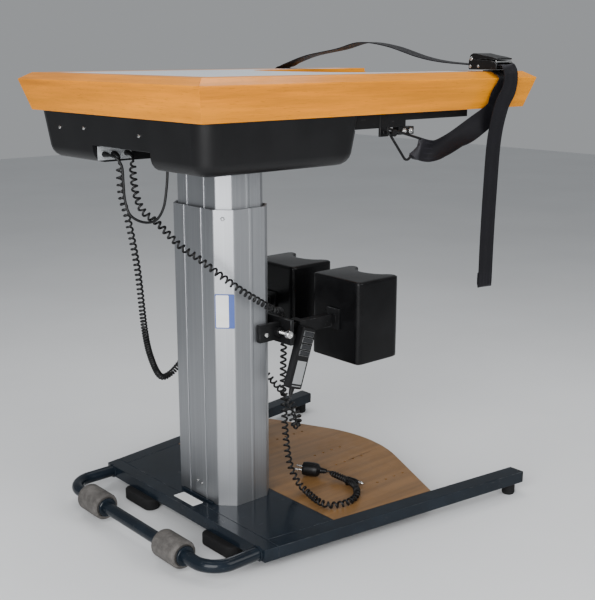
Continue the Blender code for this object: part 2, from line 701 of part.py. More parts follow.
def build_column(paints, stand, table):
    flange_top = COLUMN_BOTTOM + FLANGE_THICK
    inside = column_outline(COLUMN_WALL + CLEAR)
    flange = add_mesh("column_flange", prism(inside, COLUMN_BOTTOM, flange_top), paints["base_steel"])
    attach(flange, stand)

    outer = add_mesh("column_outer", prism(column_outline(0), COLUMN_BOTTOM, COLUMN_TOP),
                     paints["aluminium"])
    cut(outer, prism(column_outline(COLUMN_WALL), COLUMN_BOTTOM - 0.01, COLUMN_TOP + 0.01))
    for sign in (1, -1):
        for y in (GROOVE_Y, -GROOVE_Y):
            low = min(sign * (COLUMN_HALF_X - GROOVE_DEPTH), sign * (COLUMN_HALF_X + 0.01))
            high = max(sign * (COLUMN_HALF_X - GROOVE_DEPTH), sign * (COLUMN_HALF_X + 0.01))
            cut(outer, block((low, y - GROOVE_WIDTH / 2, COLUMN_BOTTOM - 0.01),
                             (high, y + GROOVE_WIDTH / 2, COLUMN_TOP + 0.01)))
    attach(outer, stand)

    glide = add_mesh("glide_ring", prism(column_outline(COLUMN_WALL + CLEAR), COLUMN_TOP - GLIDE_LENGTH,
                                         COLUMN_TOP - GLIDE_DROP), paints["black_plastic"])
    cut(glide, prism(column_outline(INNER_INSET - CLEAR), COLUMN_TOP - GLIDE_LENGTH - 0.01,
                     COLUMN_TOP + 0.01))
    attach(glide, stand)

    motor_bottom = flange_top + CLEAR
    motor_top = motor_bottom + MOTOR_LENGTH
    motor = add_mesh("drive_motor", turned(
        [(MOTOR_RADIUS * 1.25, motor_bottom), (MOTOR_RADIUS * 1.25, motor_bottom + 0.010),
         (MOTOR_RADIUS, motor_bottom + 0.010), (MOTOR_RADIUS, motor_top - 0.016),
         (MOTOR_RADIUS * 0.5, motor_top - 0.016), (MOTOR_RADIUS * 0.5, motor_top)],
        20, (0, 0, 0), (0, 0, 1)), paints["dark_steel"])
    attach(motor, stand)

    spindle = add_mesh("lift_spindle", turned(
        [(SPINDLE_RADIUS, motor_top + CLEAR), (SPINDLE_RADIUS, SPINDLE_TOP)], 16, (0, 0, 0), (0, 0, 1)),
        paints["dark_steel"])
    attach(spindle, make_empty("spindle_axis", (0, 0, 0), stand))

    inner = add_mesh("column_inner", prism(column_outline(INNER_INSET), INNER_BOTTOM, INNER_TOP),
                     paints["aluminium"])
    cut(inner, prism(column_outline(INNER_INSET + INNER_WALL), INNER_BOTTOM - 0.01, INNER_TOP + 0.01))
    attach(inner, table)

    nut = add_mesh("spindle_nut", prism(column_outline(INNER_INSET + INNER_WALL + CLEAR), INNER_BOTTOM,
                                        INNER_BOTTOM + NUT_LENGTH), paints["black_plastic"])
    bore = SPINDLE_RADIUS + RUNNING
    cut(nut, turned([(bore, INNER_BOTTOM - 0.01), (bore, INNER_BOTTOM + NUT_LENGTH + 0.01)], 16,
                    (0, 0, 0), (0, 0, 1)))
    attach(nut, table)


def build_table(paints, table):
    wood = paints["beech"]
    widest = TABLE_TOP - RIM_CHAMFER_DOWN
    profile = [(RIM_CHAMFER_IN, TABLE_TOP), (0, widest), (RIM_UNDERCUT, RIM_BOTTOM), (RIM_DEPTH, RIM_BOTTOM),
               (RIM_DEPTH, TABLE_TOP)]

    def rim(name, start, end, mitred):
        """One rim bar from corner to corner, with the table's inside on its left."""
        along = (Vector(end) - Vector(start)).normalized()
        inward = Vector((-along.y, along.x))
        builder = bmesh.new()
        rings = []
        for corner, way, mitre in ((start, 1, mitred[0]), (end, -1, mitred[1])):
            ring = []
            for depth, height in profile:
                shift = way * (depth * mitre + CLEAR / 2)
                spot = Vector(corner) + inward * depth + along * shift
                ring.append(builder.verts.new((spot.x, spot.y, height)))
            rings.append(ring)
        join_rings(builder, rings)
        builder.faces.new(rings[0])
        builder.faces.new(rings[1])
        attach(add_mesh(name, builder, wood), table)

    half = TABLE_HALF_WIDTH
    inner_end = CUT_HALF_WIDTH + LIPPING_THICK + CLEAR
    rim("rim_front", (TABLE_FRONT, half), (TABLE_FRONT, -half), (1, 1))
    rim("rim_right", (TABLE_FRONT, -half), (TABLE_REAR, -half), (1, 1))
    rim("rim_left", (TABLE_REAR, half), (TABLE_FRONT, half), (1, 1))
    rim("rim_end_right", (TABLE_REAR, -half), (TABLE_REAR, -inner_end), (1, 0))
    rim("rim_end_left", (TABLE_REAR, inner_end), (TABLE_REAR, half), (0, 1))

    lip_rear = TABLE_REAR - RIM_CHAMFER_IN
    lipping = cut_outline(0, lip_rear) + cut_outline(LIPPING_THICK, lip_rear)[::-1]
    attach(add_mesh("rim_cutout", prism(lipping, TABLE_TOP - LIPPING_HEIGHT, TABLE_TOP), wood), table)

    panel_front = TABLE_FRONT + RIM_DEPTH + CLEAR
    panel_rear = TABLE_REAR - RIM_DEPTH - CLEAR
    panel_half = half - RIM_DEPTH - CLEAR
    outline = [(panel_rear, panel_half), (panel_front, panel_half), (panel_front, -panel_half),
               (panel_rear, -panel_half)]
    outline += cut_outline(LIPPING_THICK + CLEAR, panel_rear)[::-1]
    panel = add_mesh("table_panel", prism(outline, TABLE_TOP - PANEL_THICK, TABLE_TOP), paints["laminate"])
    attach(panel, table)


def ring_pin():
    """Where the ring's pin lies in X and Z: in the ring's top corner, clear of both wires."""
    corner = Vector(RING_TOP)
    first = (Vector(RING_LOW) - corner).normalized()
    second = (Vector(RING_BACK) - corner).normalized()
    reach = PIN_RADIUS + RING_WIRE + CLEAR
    middle = (first + second).normalized()
    return corner + middle * (reach / math.sin(first.angle(second) / 2))


def build_frame(paints, table):
    """The welded steel under the table: a cross plate on the column, two arm bars and the ring pins."""
    frame_top = FRAME_BOTTOM + FRAME_THICK
    reach = ARM_BAR_Y + ARM_BAR_WIDTH / 2
    plate = block((-FRAME_HALF_X, -reach, FRAME_BOTTOM), (FRAME_HALF_X, reach, frame_top))
    frame = add_mesh("table_frame", plate, paints["black_steel"])
    pin = ring_pin()
    for sign in SIDES.values():
        y_in, y_out = sorted((sign * (ARM_BAR_Y - ARM_BAR_WIDTH / 2), sign * reach))
        join(frame, block((ARM_BAR_FRONT, y_in, FRAME_TOP - ARM_BAR_HEIGHT),
                          (ARM_BAR_STEP, y_out, FRAME_TOP)))
        join(frame, block((ARM_BAR_STEP - 0.005, y_in, FRAME_TOP - ARM_BAR_THIN),
                          (ARM_BAR_END, y_out, FRAME_TOP)))
        lug_in, lug_out = sorted((sign * (reach - 0.004), sign * (reach - 0.004 + LUG_THICK)))
        lug = rounded_rectangle(pin.x - 0.012, pin.x + 0.012, lug_in, lug_out, 0.001, 1)
        join(frame, prism(lug, pin.y - 0.008, FRAME_TOP - 0.002))
        start = reach - 0.003
        neck = RING_Y + RING_WIRE + RUNNING
        stud = [(PIN_RADIUS, start), (PIN_RADIUS, neck), (PIN_HEAD_RADIUS, neck),
                (PIN_HEAD_RADIUS, neck + PIN_HEAD_LENGTH)]
        join(frame, turned(stud, 12, (pin.x, 0, pin.y), (0, sign, 0)))
    attach(frame, table)


def build_housing(paints, table):
    plastic = paints["black_plastic"]
    top = RIM_BOTTOM - CLEAR

    def tray(inset, bottom, height):
        outline = rounded_rectangle(HOUSING_FRONT + inset, HOUSING_REAR - inset, inset - HOUSING_HALF_WIDTH,
                                    HOUSING_HALF_WIDTH - inset, HOUSING_CORNER - inset)
        shape = prism(outline, bottom, height)
        return round_edges(shape, HOUSING_EDGE - inset, 4, is_below(bottom + 0.001))

    def recess(grow):
        low = (HOUSING_FRONT - 0.05, NOTCH_NEAR - grow, HOUSING_BOTTOM - 0.05)
        high = (NOTCH_BACK + grow, NOTCH_FAR + grow, NOTCH_TOP + grow)
        shape = block(low, high)

        def rounded(edge):
            level = all(vert.co.z > NOTCH_TOP for vert in edge.verts) or is_upright(edge)
            return level and all(vert.co.x > HOUSING_FRONT for vert in edge.verts)
        return round_edges(shape, NOTCH_ROUND, 3, rounded)

    housing = add_mesh("housing", tray(0, HOUSING_BOTTOM, top), plastic)
    cut(housing, recess(0))
    hollow = add_mesh("hollow", tray(HOUSING_WALL, HOUSING_BOTTOM + HOUSING_WALL, top + 0.02), plastic)
    cut(hollow, recess(HOUSING_WALL))
    combine(housing, hollow, "DIFFERENCE")
    cut(housing, prism(column_outline(INNER_INSET - COLUMN_HOLE_MARGIN), HOUSING_BOTTOM - 0.01, NOTCH_TOP))
    for sign in SIDES.values():
        y_in, y_out = sorted((sign * (ARM_BAR_Y - ARM_BAR_WIDTH / 2 - RUNNING),
                              sign * (ARM_BAR_Y + ARM_BAR_WIDTH / 2 + RUNNING)))
        cut(housing, block((HOUSING_REAR - HOUSING_CORNER, y_in, FRAME_TOP - ARM_BAR_HEIGHT - RUNNING),
                           (HOUSING_REAR + 0.01, y_out, top + 0.01)))
    attach(housing, table)

    boot_top = HOUSING_BOTTOM - CLEAR
    boot = add_mesh("column_boot", prism(column_outline(INNER_INSET - BOOT_WIDTH), boot_top - BOOT_HEIGHT,
                                         boot_top), plastic)
    cut(boot, prism(column_outline(INNER_INSET - CLEAR), boot_top - BOOT_HEIGHT - 0.01, boot_top + 0.01))
    attach(boot, table)

    length, width, height = CONTROL_BOX
    box_x = HOUSING_FRONT + HOUSING_EDGE + HOUSING_WALL
    box_y = NOTCH_FAR + 2 * HOUSING_WALL
    box_z = HOUSING_BOTTOM + HOUSING_WALL + CLEAR
    box = block((box_x, box_y, box_z), (box_x + length, box_y + width, box_z + height))
    box = add_mesh("control_box", round_edges(box, 0.003, 1, is_upright), paints["grey_plastic"])
    attach(box, table)

    face = NOTCH_FAR - CLEAR
    low = (SOCKET_PANEL_X[0], face - SOCKET_PANEL_THICK, HOUSING_BOTTOM + SOCKET_PANEL_LOW)
    high = (SOCKET_PANEL_X[1], face, HOUSING_BOTTOM + SOCKET_PANEL_HIGH)
    panel = add_mesh("socket_panel", block(low, high), paints["grey_plastic"])
    for x in (LINK_SOCKET_X, HANDSET_SOCKET_X, MAINS_SOCKET_X):
        socket = [(SOCKET_RADIUS, 0), (SOCKET_RADIUS, SOCKET_PANEL_THICK / 2 + SOCKET_LENGTH)]
        join(panel, turned(socket, 12, (x, face - SOCKET_PANEL_THICK / 2, SOCKET_Z), (0, -1, 0)))
    attach(panel, table)


def ribbon(frames, width, thick):
    """A flat strap through frames of (point, width direction), curving smoothly between them."""
    points = [Vector(point) for point, _ in frames]
    points = [2 * points[0] - points[1]] + points + [2 * points[-1] - points[-2]]
    middle = []
    for index in range(len(frames) - 1):
        for step in range(STRAP_STEPS):
            t = step / STRAP_STEPS
            across = Vector(frames[index][1]).lerp(Vector(frames[index + 1][1]), t)
            middle.append((between(*points[index:index + 4], t), across))
    middle.append((points[-2], Vector(frames[-1][1])))
    builder = bmesh.new()
    rings = []
    for index, (point, across) in enumerate(middle):
        along = (middle[min(index + 1, len(middle) - 1)][0] - middle[max(index - 1, 0)][0]).normalized()
        across = (across - along * across.dot(along)).normalized()
        up = across.cross(along)
        ring = []
        for side, lift in ((1, 1), (-1, 1), (-1, -1), (1, -1)):
            offset = across * side * width / 2 + up * lift * thick / 2
            ring.append(builder.verts.new(point + offset))
        rings.append(ring)
    join_rings(builder, rings)
    builder.faces.new(rings[0])
    builder.faces.new(rings[-1])
    return builder


def build_strap(paints, stand, table):
    pin = ring_pin()
    corners = [RING_TOP, RING_LOW, RING_BACK]
    for name, sign in SIDES.items():
        loop = []
        for index, corner in enumerate(corners):
            here = Vector(corner)
            before = (Vector(corners[index - 1]) - here).normalized()
            after = (Vector(corners[(index + 1) % 3]) - here).normalized()
            ease = 0.006
            for place in (here + before * ease, here + (before + after) * ease * 0.25, here + after * ease):
                loop.append((place.x, sign * RING_Y, place.y))
        ring = add_mesh(f"strap_ring_{name}", swept(loop, [RING_WIRE] * len(loop), 8, closed=True),
                        paints["black_steel"])
        axis = (pin.x, sign * RING_Y, pin.y)
        attach(ring, make_empty(f"strap_ring_{name}_axis", axis, table), axis)

    half = TABLE_HALF_WIDTH
    ring_side = RING_Y + RING_WIRE + CLEAR + STRAP_THICK / 2
    lay = STRAP_THICK / 2 + 2 * CLEAR
    edge_y = half - RIM_CHAMFER_IN
    widest = TABLE_TOP - RIM_CHAMFER_DOWN
    start = (Vector(RING_LOW) + Vector(RING_BACK)) / 2

    def lower_part(sign, crossing, lift):
        """From the ring up over the rim, which it meets so far along the arm."""
        run = crossing - start.x
        twist = -0.75 * sign
        landing = crossing + STRAP_LANDING
        brow = (widest + TABLE_TOP) / 2 + lay + 0.0016
        return [((start.x - 0.004, sign * ring_side, start.y + 0.002), (0.82, 0, 0.57)),
                ((start.x + 0.22 * run, sign * (ring_side + 0.001), start.y - 0.012), (0.30, 0, 0.95)),
                ((start.x + 0.48 * run, sign * (ring_side + 0.003), start.y + 0.004), (-0.20, twist, 0.65)),
                ((start.x + 0.76 * run, sign * (ring_side + 0.006), start.y + 0.032),
                 (-0.45, twist / 2, 0.80)),
                ((crossing, sign * (half - 0.008), RIM_BOTTOM - 0.006), (-0.62, 0, 0.78)),
                ((landing - 0.014, sign * (half - 0.003), RIM_BOTTOM + 0.024), (-0.80, 0, 0.60)),
                ((landing - 0.004, sign * (half + 0.003), widest - 0.014), (-0.94, 0, 0.34)),
                ((landing - 0.001, sign * (half + lay + 0.0016), widest + 0.001), (-1, 0, 0.04)),
                ((landing + 0.001, sign * (edge_y + 0.011), brow), (-1, 0, 0)),
                ((landing + 0.001, sign * edge_y, TABLE_TOP + lay + 0.0004 + lift / 3), (-1, 0, 0)),
                ((landing, sign * (edge_y - 0.012), TABLE_TOP + lay + lift), (-1, 0, 0))]

    near = lower_part(-1, STRAP_NEAR_CROSSING, 0)
    near.append(((BUCKLE_X, BUCKLE_Y + 0.012, TABLE_TOP + lay), (-1, 0, 0)))
    strap = add_mesh("hip_strap_right", ribbon(near, STRAP_WIDTH, STRAP_THICK), paints["webbing"])
    attach(strap, table)

    buckle_bottom = TABLE_TOP + 2 * lay + 3 * CLEAR
    slot_middle = buckle_bottom + BUCKLE_HEIGHT / 2
    buckle_in = BUCKLE_Y + BUCKLE_LENGTH / 2
    buckle_out = BUCKLE_Y - BUCKLE_LENGTH / 2
    far = lower_part(1, STRAP_FAR_CROSSING, 0.004)
    landing = STRAP_FAR_CROSSING + STRAP_LANDING
    arch = [(-0.10, 0.778, 0.24), (0.01, 0.596, 0.52), (0.20, 0.331, 0.76), (0.37, 0.133, 1.0),
            (0.53, -0.099, 0.86), (0.73, -0.348, 0.48), (0.86, -0.530, 0.31)]
    for share, side, rise in arch:
        spot = (landing + (BUCKLE_X - landing) * share, half * side, TABLE_TOP + STRAP_ARCH * rise)
        far.append((spot, (-1, -0.12, 0)))
    far += [((BUCKLE_X - 0.001, buckle_in + 0.012, slot_middle + 0.0005), (-1, 0, 0)),
            ((BUCKLE_X, buckle_in, slot_middle), (-1, 0, 0)),
            ((BUCKLE_X, (buckle_in + 3 * buckle_out) / 4, slot_middle), (-1, 0, 0)),
            ((BUCKLE_X, buckle_out, slot_middle), (-1, 0, 0)),
            ((BUCKLE_X + 0.001, buckle_out - 0.007, slot_middle - 0.0015), (-1, 0, 0)),
            ((BUCKLE_X + 0.004, -half - 0.0155, widest + 0.008), (-1, 0, 0.10)),
            ((BUCKLE_X + 0.001, -half - 0.0150, widest - 0.022), (-0.98, 0, 0.20)),
            ((BUCKLE_X - 0.016, -half - 0.011, RIM_BOTTOM + 0.004), (-0.97, 0, 0.22)),
            ((BUCKLE_X - 0.029, -half - 0.007, RIM_BOTTOM - 0.17 * STRAP_TAIL), (-1, 0, 0.08)),
            ((BUCKLE_X - 0.034, -half - 0.006, RIM_BOTTOM - 0.45 * STRAP_TAIL), (-1, 0, 0.04)),
            ((BUCKLE_X - 0.037, -half - 0.006, RIM_BOTTOM - 0.735 * STRAP_TAIL), (-1, 0, 0.04)),
            ((BUCKLE_X - 0.039, -half - 0.007, RIM_BOTTOM - STRAP_TAIL), (-1, 0, 0.04))]
    strap = add_mesh("hip_strap_left", ribbon(far, STRAP_WIDTH, STRAP_THICK), paints["webbing"])
    attach(strap, table)

    half_x = BUCKLE_WIDTH / 2
    half_y = BUCKLE_LENGTH / 2
    body = block((BUCKLE_X - half_x, BUCKLE_Y - half_y, buckle_bottom),
                 (BUCKLE_X + half_x, BUCKLE_Y + half_y, buckle_bottom + BUCKLE_HEIGHT))
    buckle = add_mesh("cam_buckle", round_edges(body, 0.003, 1, is_upright), paints["black_steel"])
    slot_x = STRAP_WIDTH / 2 + 0.0018
    cut(buckle, block((BUCKLE_X - slot_x, BUCKLE_Y - half_y - 0.01, slot_middle - BUCKLE_SLOT / 2),
                      (BUCKLE_X + slot_x, BUCKLE_Y + half_y + 0.01, slot_middle + BUCKLE_SLOT / 2)))
    attach(buckle, table)

    lever_bottom = buckle_bottom + BUCKLE_HEIGHT + CLEAR
    axis = (BUCKLE_X, BUCKLE_Y + half_y - LEVER_THICK, lever_bottom + LEVER_THICK / 2)
    plate = block((BUCKLE_X - half_x + 0.004, axis[1] - LEVER_LENGTH, lever_bottom),
                  (BUCKLE_X + half_x - 0.004, axis[1], lever_bottom + LEVER_THICK))
    lever = add_mesh("buckle_lever", round_edges(plate, LEVER_THICK, 2, is_upright), paints["bright_steel"])
    attach(lever, make_empty("buckle_lever_axis", axis, table), axis)


def build_knee_supports(paints, stand):
    steel = paints["black_steel"]
    place = (0, 0, KNEE_Z)
    carriage = make_empty("knee_carriage", place, stand)
    low = KNEE_Z - KNEE_PLATE_HEIGHT / 2
    high = KNEE_Z + KNEE_PLATE_HEIGHT / 2
    plate = add_mesh("knee_plate", block((KNEE_PLATE_FRONT, -KNEE_PLATE_HALF_Y, low),
                                         (KNEE_PLATE_BACK, KNEE_PLATE_HALF_Y, high)), steel)
    sleeve_end = KNEE_PLATE_BACK + SLEEVE_LENGTH
    bar_y = SLEEVE_WIDTH / 2 - SLEEVE_WALL - RUNNING
    bar_z = SLEEVE_HEIGHT / 2 - SLEEVE_WALL - RUNNING
    for sign in SIDES.values():
        y = sign * SLEEVE_Y
        join(plate, block((KNEE_PLATE_BACK - 0.004, y - SLEEVE_WIDTH / 2, KNEE_Z - SLEEVE_HEIGHT / 2),
                          (sleeve_end, y + SLEEVE_WIDTH / 2, KNEE_Z + SLEEVE_HEIGHT / 2)))
        bore_y = SLEEVE_WIDTH / 2 - SLEEVE_WALL
        bore_z = SLEEVE_HEIGHT / 2 - SLEEVE_WALL
        cut(plate, block((KNEE_PLATE_BACK, y - bore_y, KNEE_Z - bore_z),
                         (sleeve_end + 0.01, y + bore_y, KNEE_Z + bore_z)))
    attach(plate, carriage, place)

    flange_back = PAD_BACK - CLEAR
    for name, sign in SIDES.items():
        inner_face = sign * (COLUMN_HALF_Y + 2 * CLEAR)
        outer_face = inner_face + sign * CHEEK_THICK
        y_in, y_out = sorted((inner_face, outer_face))
        cheek = add_mesh(f"knee_cheek_{name}", block(
            (CHEEK_FRONT, y_in, KNEE_Z - CHEEK_HEIGHT / 2),
            (KNEE_PLATE_FRONT - CLEAR, y_out, KNEE_Z + CHEEK_HEIGHT / 2)), steel)
        attach(cheek, carriage, place)

        neck = SCREW_NECK_LENGTH + CLEAR
        profile = [(SCREW_NECK_RADIUS, CLEAR), (SCREW_NECK_RADIUS, neck), (SCREW_HEAD_RADIUS, neck),
                   (SCREW_HEAD_RADIUS, neck + SCREW_HEAD_LENGTH)]
        axis = (SCREW_X, outer_face, KNEE_Z)
        screw = add_mesh(f"knee_screw_{name}", turned(profile, 12, axis, (0, sign, 0)),
                         paints["bright_steel"])
        attach(screw, make_empty(f"knee_screw_{name}_axis", Vector(axis) - Vector(place), carriage), axis)

        y = sign * SLEEVE_Y
        bar = block((KNEE_PLATE_BACK + CLEAR, y - bar_y, KNEE_Z - bar_z),
                    (flange_back - ARM_FLANGE_THICK / 2, y + bar_y, KNEE_Z + bar_z))
        arm = add_mesh(f"knee_arm_{name}", bar, steel)
        pad_y = sign * (PAD_GAP + PAD_WIDTH) / 2
        join(arm, block((flange_back - ARM_FLANGE_THICK, pad_y - ARM_FLANGE_HALF_Y,
                         KNEE_Z - ARM_FLANGE_HALF_Z),
                        (flange_back, pad_y + ARM_FLANGE_HALF_Y, KNEE_Z + ARM_FLANGE_HALF_Z)))
        axis = (sleeve_end, y, KNEE_Z)
        slide = make_empty(f"knee_arm_{name}_axis", Vector(axis) - Vector(place), carriage)
        attach(arm, slide, axis)
        attach(knee_pad(f"knee_pad_{name}", pad_y, paints["pad_skin"]), slide, axis)
    build_handset(paints, carriage, place)


def pad_outline():
    """The pad seen from above: a flat back, sides that swell a little, two horns and the knee's hollow."""
    half = PAD_WIDTH / 2
    horn = PAD_BACK + PAD_DEPTH
    tip = horn - PAD_HORN
    chord = half - 2 * PAD_HORN
    radius = (chord ** 2 + PAD_CUP ** 2) / (2 * PAD_CUP)
    sweep = math.asin(chord / radius)
    quarter = math.pi / 2
    side = arc_points((PAD_BACK + PAD_EDGE, PAD_EDGE - half + PAD_SWELL), PAD_EDGE,
                      2 * quarter, 3 * quarter, 3)
    for step in range(1, 6):
        share = step / 6
        x = PAD_BACK + PAD_EDGE + (tip - PAD_BACK - PAD_EDGE) * share
        side.append((x, PAD_SWELL - half - PAD_SWELL * math.sin(math.pi * share)))
    side += arc_points((tip, PAD_HORN - half + PAD_SWELL), PAD_HORN, -quarter, quarter, 5)
    hollow = arc_points((horn - PAD_CUP + radius, 0), radius, math.pi + sweep, math.pi - sweep, 10)[1:-1]
    return side + hollow + [(x, -y) for x, y in reversed(side)]


def knee_pad(name, middle, skin):
    """A moulded pad: its outline drawn in towards a crowned top and a crowned underside."""
    outline = pad_outline()
    centre = Vector((PAD_BACK + PAD_DEPTH * 0.45, 0))
    half = PAD_HEIGHT / 2
    levels = [(half, 0.45), (half - PAD_CROWN * 0.4, 0.78)]
    for step in range(4):
        angle = math.pi / 6 * step
        drop = PAD_CROWN + PAD_EDGE * (1 - math.cos(angle))
        levels.append((half - drop, 1 - (1 - math.sin(angle)) * PAD_EDGE / PAD_DEPTH * 2))
    levels += [(half * 0.45, 1.0), (0, 1.0)]
    levels += [(-height, scale) for height, scale in reversed(levels[:-1])]
    builder = bmesh.new()
    rings = []
    for height, scale in levels:
        ring = []
        for x, y in outline:
            spot = centre + (Vector((x, y)) - centre) * scale
            ring.append(builder.verts.new((spot.x, spot.y + middle, PAD_Z + height)))
        rings.append(ring)
    join_rings(builder, rings)
    builder.faces.new(rings[0])
    builder.faces.new(rings[-1])
    return add_mesh(name, builder, skin)


def build_handset(paints, carriage, place):
    """The hand control, leaning in the plane of its face, hung on the near sleeve by a hook."""
    lean = Matrix.Translation(HANDSET_MIDDLE) @ Matrix.Rotation(HANDSET_LEAN, 4, "Y")
    half_x = HANDSET_WIDTH / 2
    half_y = HANDSET_THICK / 2
    half_z = HANDSET_LENGTH / 2
    body = round_edges(block((-half_x, -half_y, -half_z), (half_x, half_y, half_z)), HANDSET_EDGE, 2)
    bmesh.ops.transform(body, matrix=lean, verts=body.verts)
    handset = add_mesh("handset_body", body, paints["black_plastic"])
    nose = turned([(HANDSET_NOSE_RADIUS, -0.004), (HANDSET_NOSE_RADIUS * 0.7, HANDSET_NOSE_LENGTH)], 10,
                  (0, 0, -half_z), (0, 0, -1))
    bmesh.ops.transform(nose, matrix=lean, verts=nose.verts)
    join(handset, nose)

    back = HANDSET_MIDDLE[1] + half_y
    top = KNEE_Z + SLEEVE_HEIGHT / 2 + 2 * CLEAR
    x0 = HOOK_X - HOOK_WIDTH / 2
    x1 = HOOK_X + HOOK_WIDTH / 2
    inside = -SLEEVE_Y + SLEEVE_WIDTH / 2 + 2 * CLEAR
    join(handset, block((x0, back - 0.002, KNEE_Z - 0.014), (x1, back + HOOK_THICK, top + HOOK_THICK)))
    join(handset, block((x0, back, top), (x1, inside + HOOK_THICK, top + HOOK_THICK)))
    join(handset, block((x0, inside, top - 0.010), (x1, inside + HOOK_THICK, top + HOOK_THICK)))

    for index in range(BUTTON_COUNT):
        z = BUTTON_FIRST - index * BUTTON_PITCH
        grow = RUNNING
        pocket = block((-BUTTON_WIDTH / 2 - grow, -half_y - 0.01, z - BUTTON_HEIGHT / 2 - grow),
                       (BUTTON_WIDTH / 2 + grow, -half_y + BUTTON_POCKET, z + BUTTON_HEIGHT / 2 + grow))
        bmesh.ops.transform(pocket, matrix=lean, verts=pocket.verts)
        cut(handset, pocket)
        face = -half_y - BUTTON_PROUD
        cap = block((-BUTTON_WIDTH / 2, face, z - BUTTON_HEIGHT / 2), (BUTTON_WIDTH / 2, face + BUTTON_THICK,
                                                                       z + BUTTON_HEIGHT / 2))
        bmesh.ops.transform(cap, matrix=lean, verts=cap.verts)
        button = add_mesh(f"handset_button_{index + 1}", cap, paints["grey_plastic"])
        axis = lean @ Vector((0, face, z))
        attach(button, make_empty(f"button_{index + 1}_axis", axis - Vector(place), carriage), axis)
    attach(handset, carriage, place)


def build_cords(paints, stand, table):
    socket_end = NOTCH_FAR - CLEAR - SOCKET_PANEL_THICK - SOCKET_LENGTH - CLEAR
    lean = Matrix.Translation(HANDSET_MIDDLE) @ Matrix.Rotation(HANDSET_LEAN, 4, "Y")
    nose = lean @ Vector((0, 0, -HANDSET_LENGTH / 2 - HANDSET_NOSE_LENGTH - CLEAR))
    nose_leads = [lean @ Vector((0, 0, -HANDSET_LENGTH / 2 - HANDSET_NOSE_LENGTH - lead))
                  for lead in (0.020, 0.010)]
    split = Vector(HANDSET_CORD_SPLIT)
    split_way = Vector(HANDSET_CORD_WAY).normalized()

    def from_socket(x, route):
        return [(x, socket_end, SOCKET_Z), (x, socket_end - 0.008, SOCKET_Z)] + route

    plug_end = Vector((0.190, -0.108, PLATE_TOP + PLUG_RADIUS + 2 * CLEAR))
    plug_way = Vector((-0.50, 0.87, 0)).normalized()
    routes = [
        ("handset_cord", from_socket(HANDSET_SOCKET_X, HANDSET_ROUTE)
         + [split - split_way * 0.012, split - split_way * CLEAR], HANDSET_CURLS),
        ("handset_cord_tail", [split + split_way * CLEAR, split + split_way * 0.012]
         + HANDSET_TAIL_ROUTE + nose_leads + [nose], HANDSET_TAIL_CURLS),
        ("mains_cord", from_socket(MAINS_SOCKET_X, MAINS_ROUTE)
         + [plug_end - plug_way * 0.008, plug_end - plug_way * CLEAR], MAINS_CURLS)]
    for name, route, curls in routes:
        path = curled(route, curls)
        gap = least_self_gap(path, CURL_WIRE, CURL_POINTS - 2)
        print(name, "least gap to itself, mm:", round(1000 * gap, 2))
        attach(cord(name, path, CURL_WIRE, 1, paints["cord"]), stand)

    ceiling = (LINK_ROUTE[-1][0], LINK_ROUTE[-1][1], NOTCH_TOP - CLEAR)
    route = from_socket(LINK_SOCKET_X, LINK_ROUTE) + [ceiling]
    attach(cord("link_cable", smooth_route(route, 44), LINK_RADIUS, 2, paints["cord"]), table)

    profile = [(PLUG_RADIUS * 0.45, 0), (PLUG_RADIUS * 0.55, 0.014), (PLUG_RADIUS * 0.92, 0.018),
               (PLUG_RADIUS, 0.024), (PLUG_RADIUS, PLUG_LENGTH - 0.006), (PLUG_RADIUS * 0.9, PLUG_LENGTH)]
    plug = add_mesh("mains_plug", turned(profile, 14, plug_end, plug_way), paints["black_plastic"])
    across = plug_way.cross(Vector((0, 0, 1)))
    for side in (1, -1):
        foot = plug_end + plug_way * (PLUG_LENGTH - 0.004) + across * side * PLUG_PIN_SPACING / 2
        pin = [(PLUG_PIN_RADIUS, 0), (PLUG_PIN_RADIUS, PLUG_PIN_LENGTH + 0.004)]
        join(plug, turned(pin, 8, foot, plug_way))
    attach(plug, stand)


def main():
    clear_scene()
    paints = {
        "base_steel": make_material("base_steel", (0.045, 0.060, 0.075), 0.40),
        "black_steel": make_material("black_steel", (0.020, 0.021, 0.023), 0.45),
        "dark_steel": make_material("dark_steel", (0.25, 0.25, 0.26), 0.40, 1.0),
        "bright_steel": make_material("bright_steel", (0.62, 0.63, 0.64), 0.25, 1.0),
        "aluminium": make_material("aluminium", (0.60, 0.61, 0.63), 0.38, 1.0),
        "beech": make_material("beech", (0.62, 0.29, 0.07), 0.38),
        "laminate": make_material("laminate", (0.62, 0.66, 0.70), 0.45),
        "plywood": make_material("plywood", (0.42, 0.22, 0.10), 0.45),
        "rubber": make_material("rubber", (0.015, 0.015, 0.016), 0.80),
        "roller": make_material("roller", (0.30, 0.28, 0.26), 0.90),
        "black_plastic": make_material("black_plastic", (0.018, 0.018, 0.020), 0.42),
        "grey_plastic": make_material("grey_plastic", (0.30, 0.31, 0.32), 0.50),
        "pad_skin": make_material("pad_skin", (0.016, 0.016, 0.017), 0.55),
        "webbing": make_material("webbing", (0.020, 0.019, 0.023), 0.75),
        "cord": make_material("cord", (0.012, 0.012, 0.013), 0.45)}
    stand = make_empty("stand", (COLUMN_X, 0, 0))
    table = make_empty("table_lift", (0, 0, 0), stand)
    build_base(paints, stand)
    build_column(paints, stand, table)
    build_table(paints, table)
    build_frame(paints, table)
    build_housing(paints, table)
    build_strap(paints, stand, table)
    build_knee_supports(paints, stand)
    build_cords(paints, stand, table)


main()
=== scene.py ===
"""Looks of the height-adjustable standing table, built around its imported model, which is the frame.
Metres, +Z up. Places along X are given from the column's middle, as in the part's own source. Profiles,
routes and other lists of places are in millimetres."""
import math
from contextlib import contextmanager

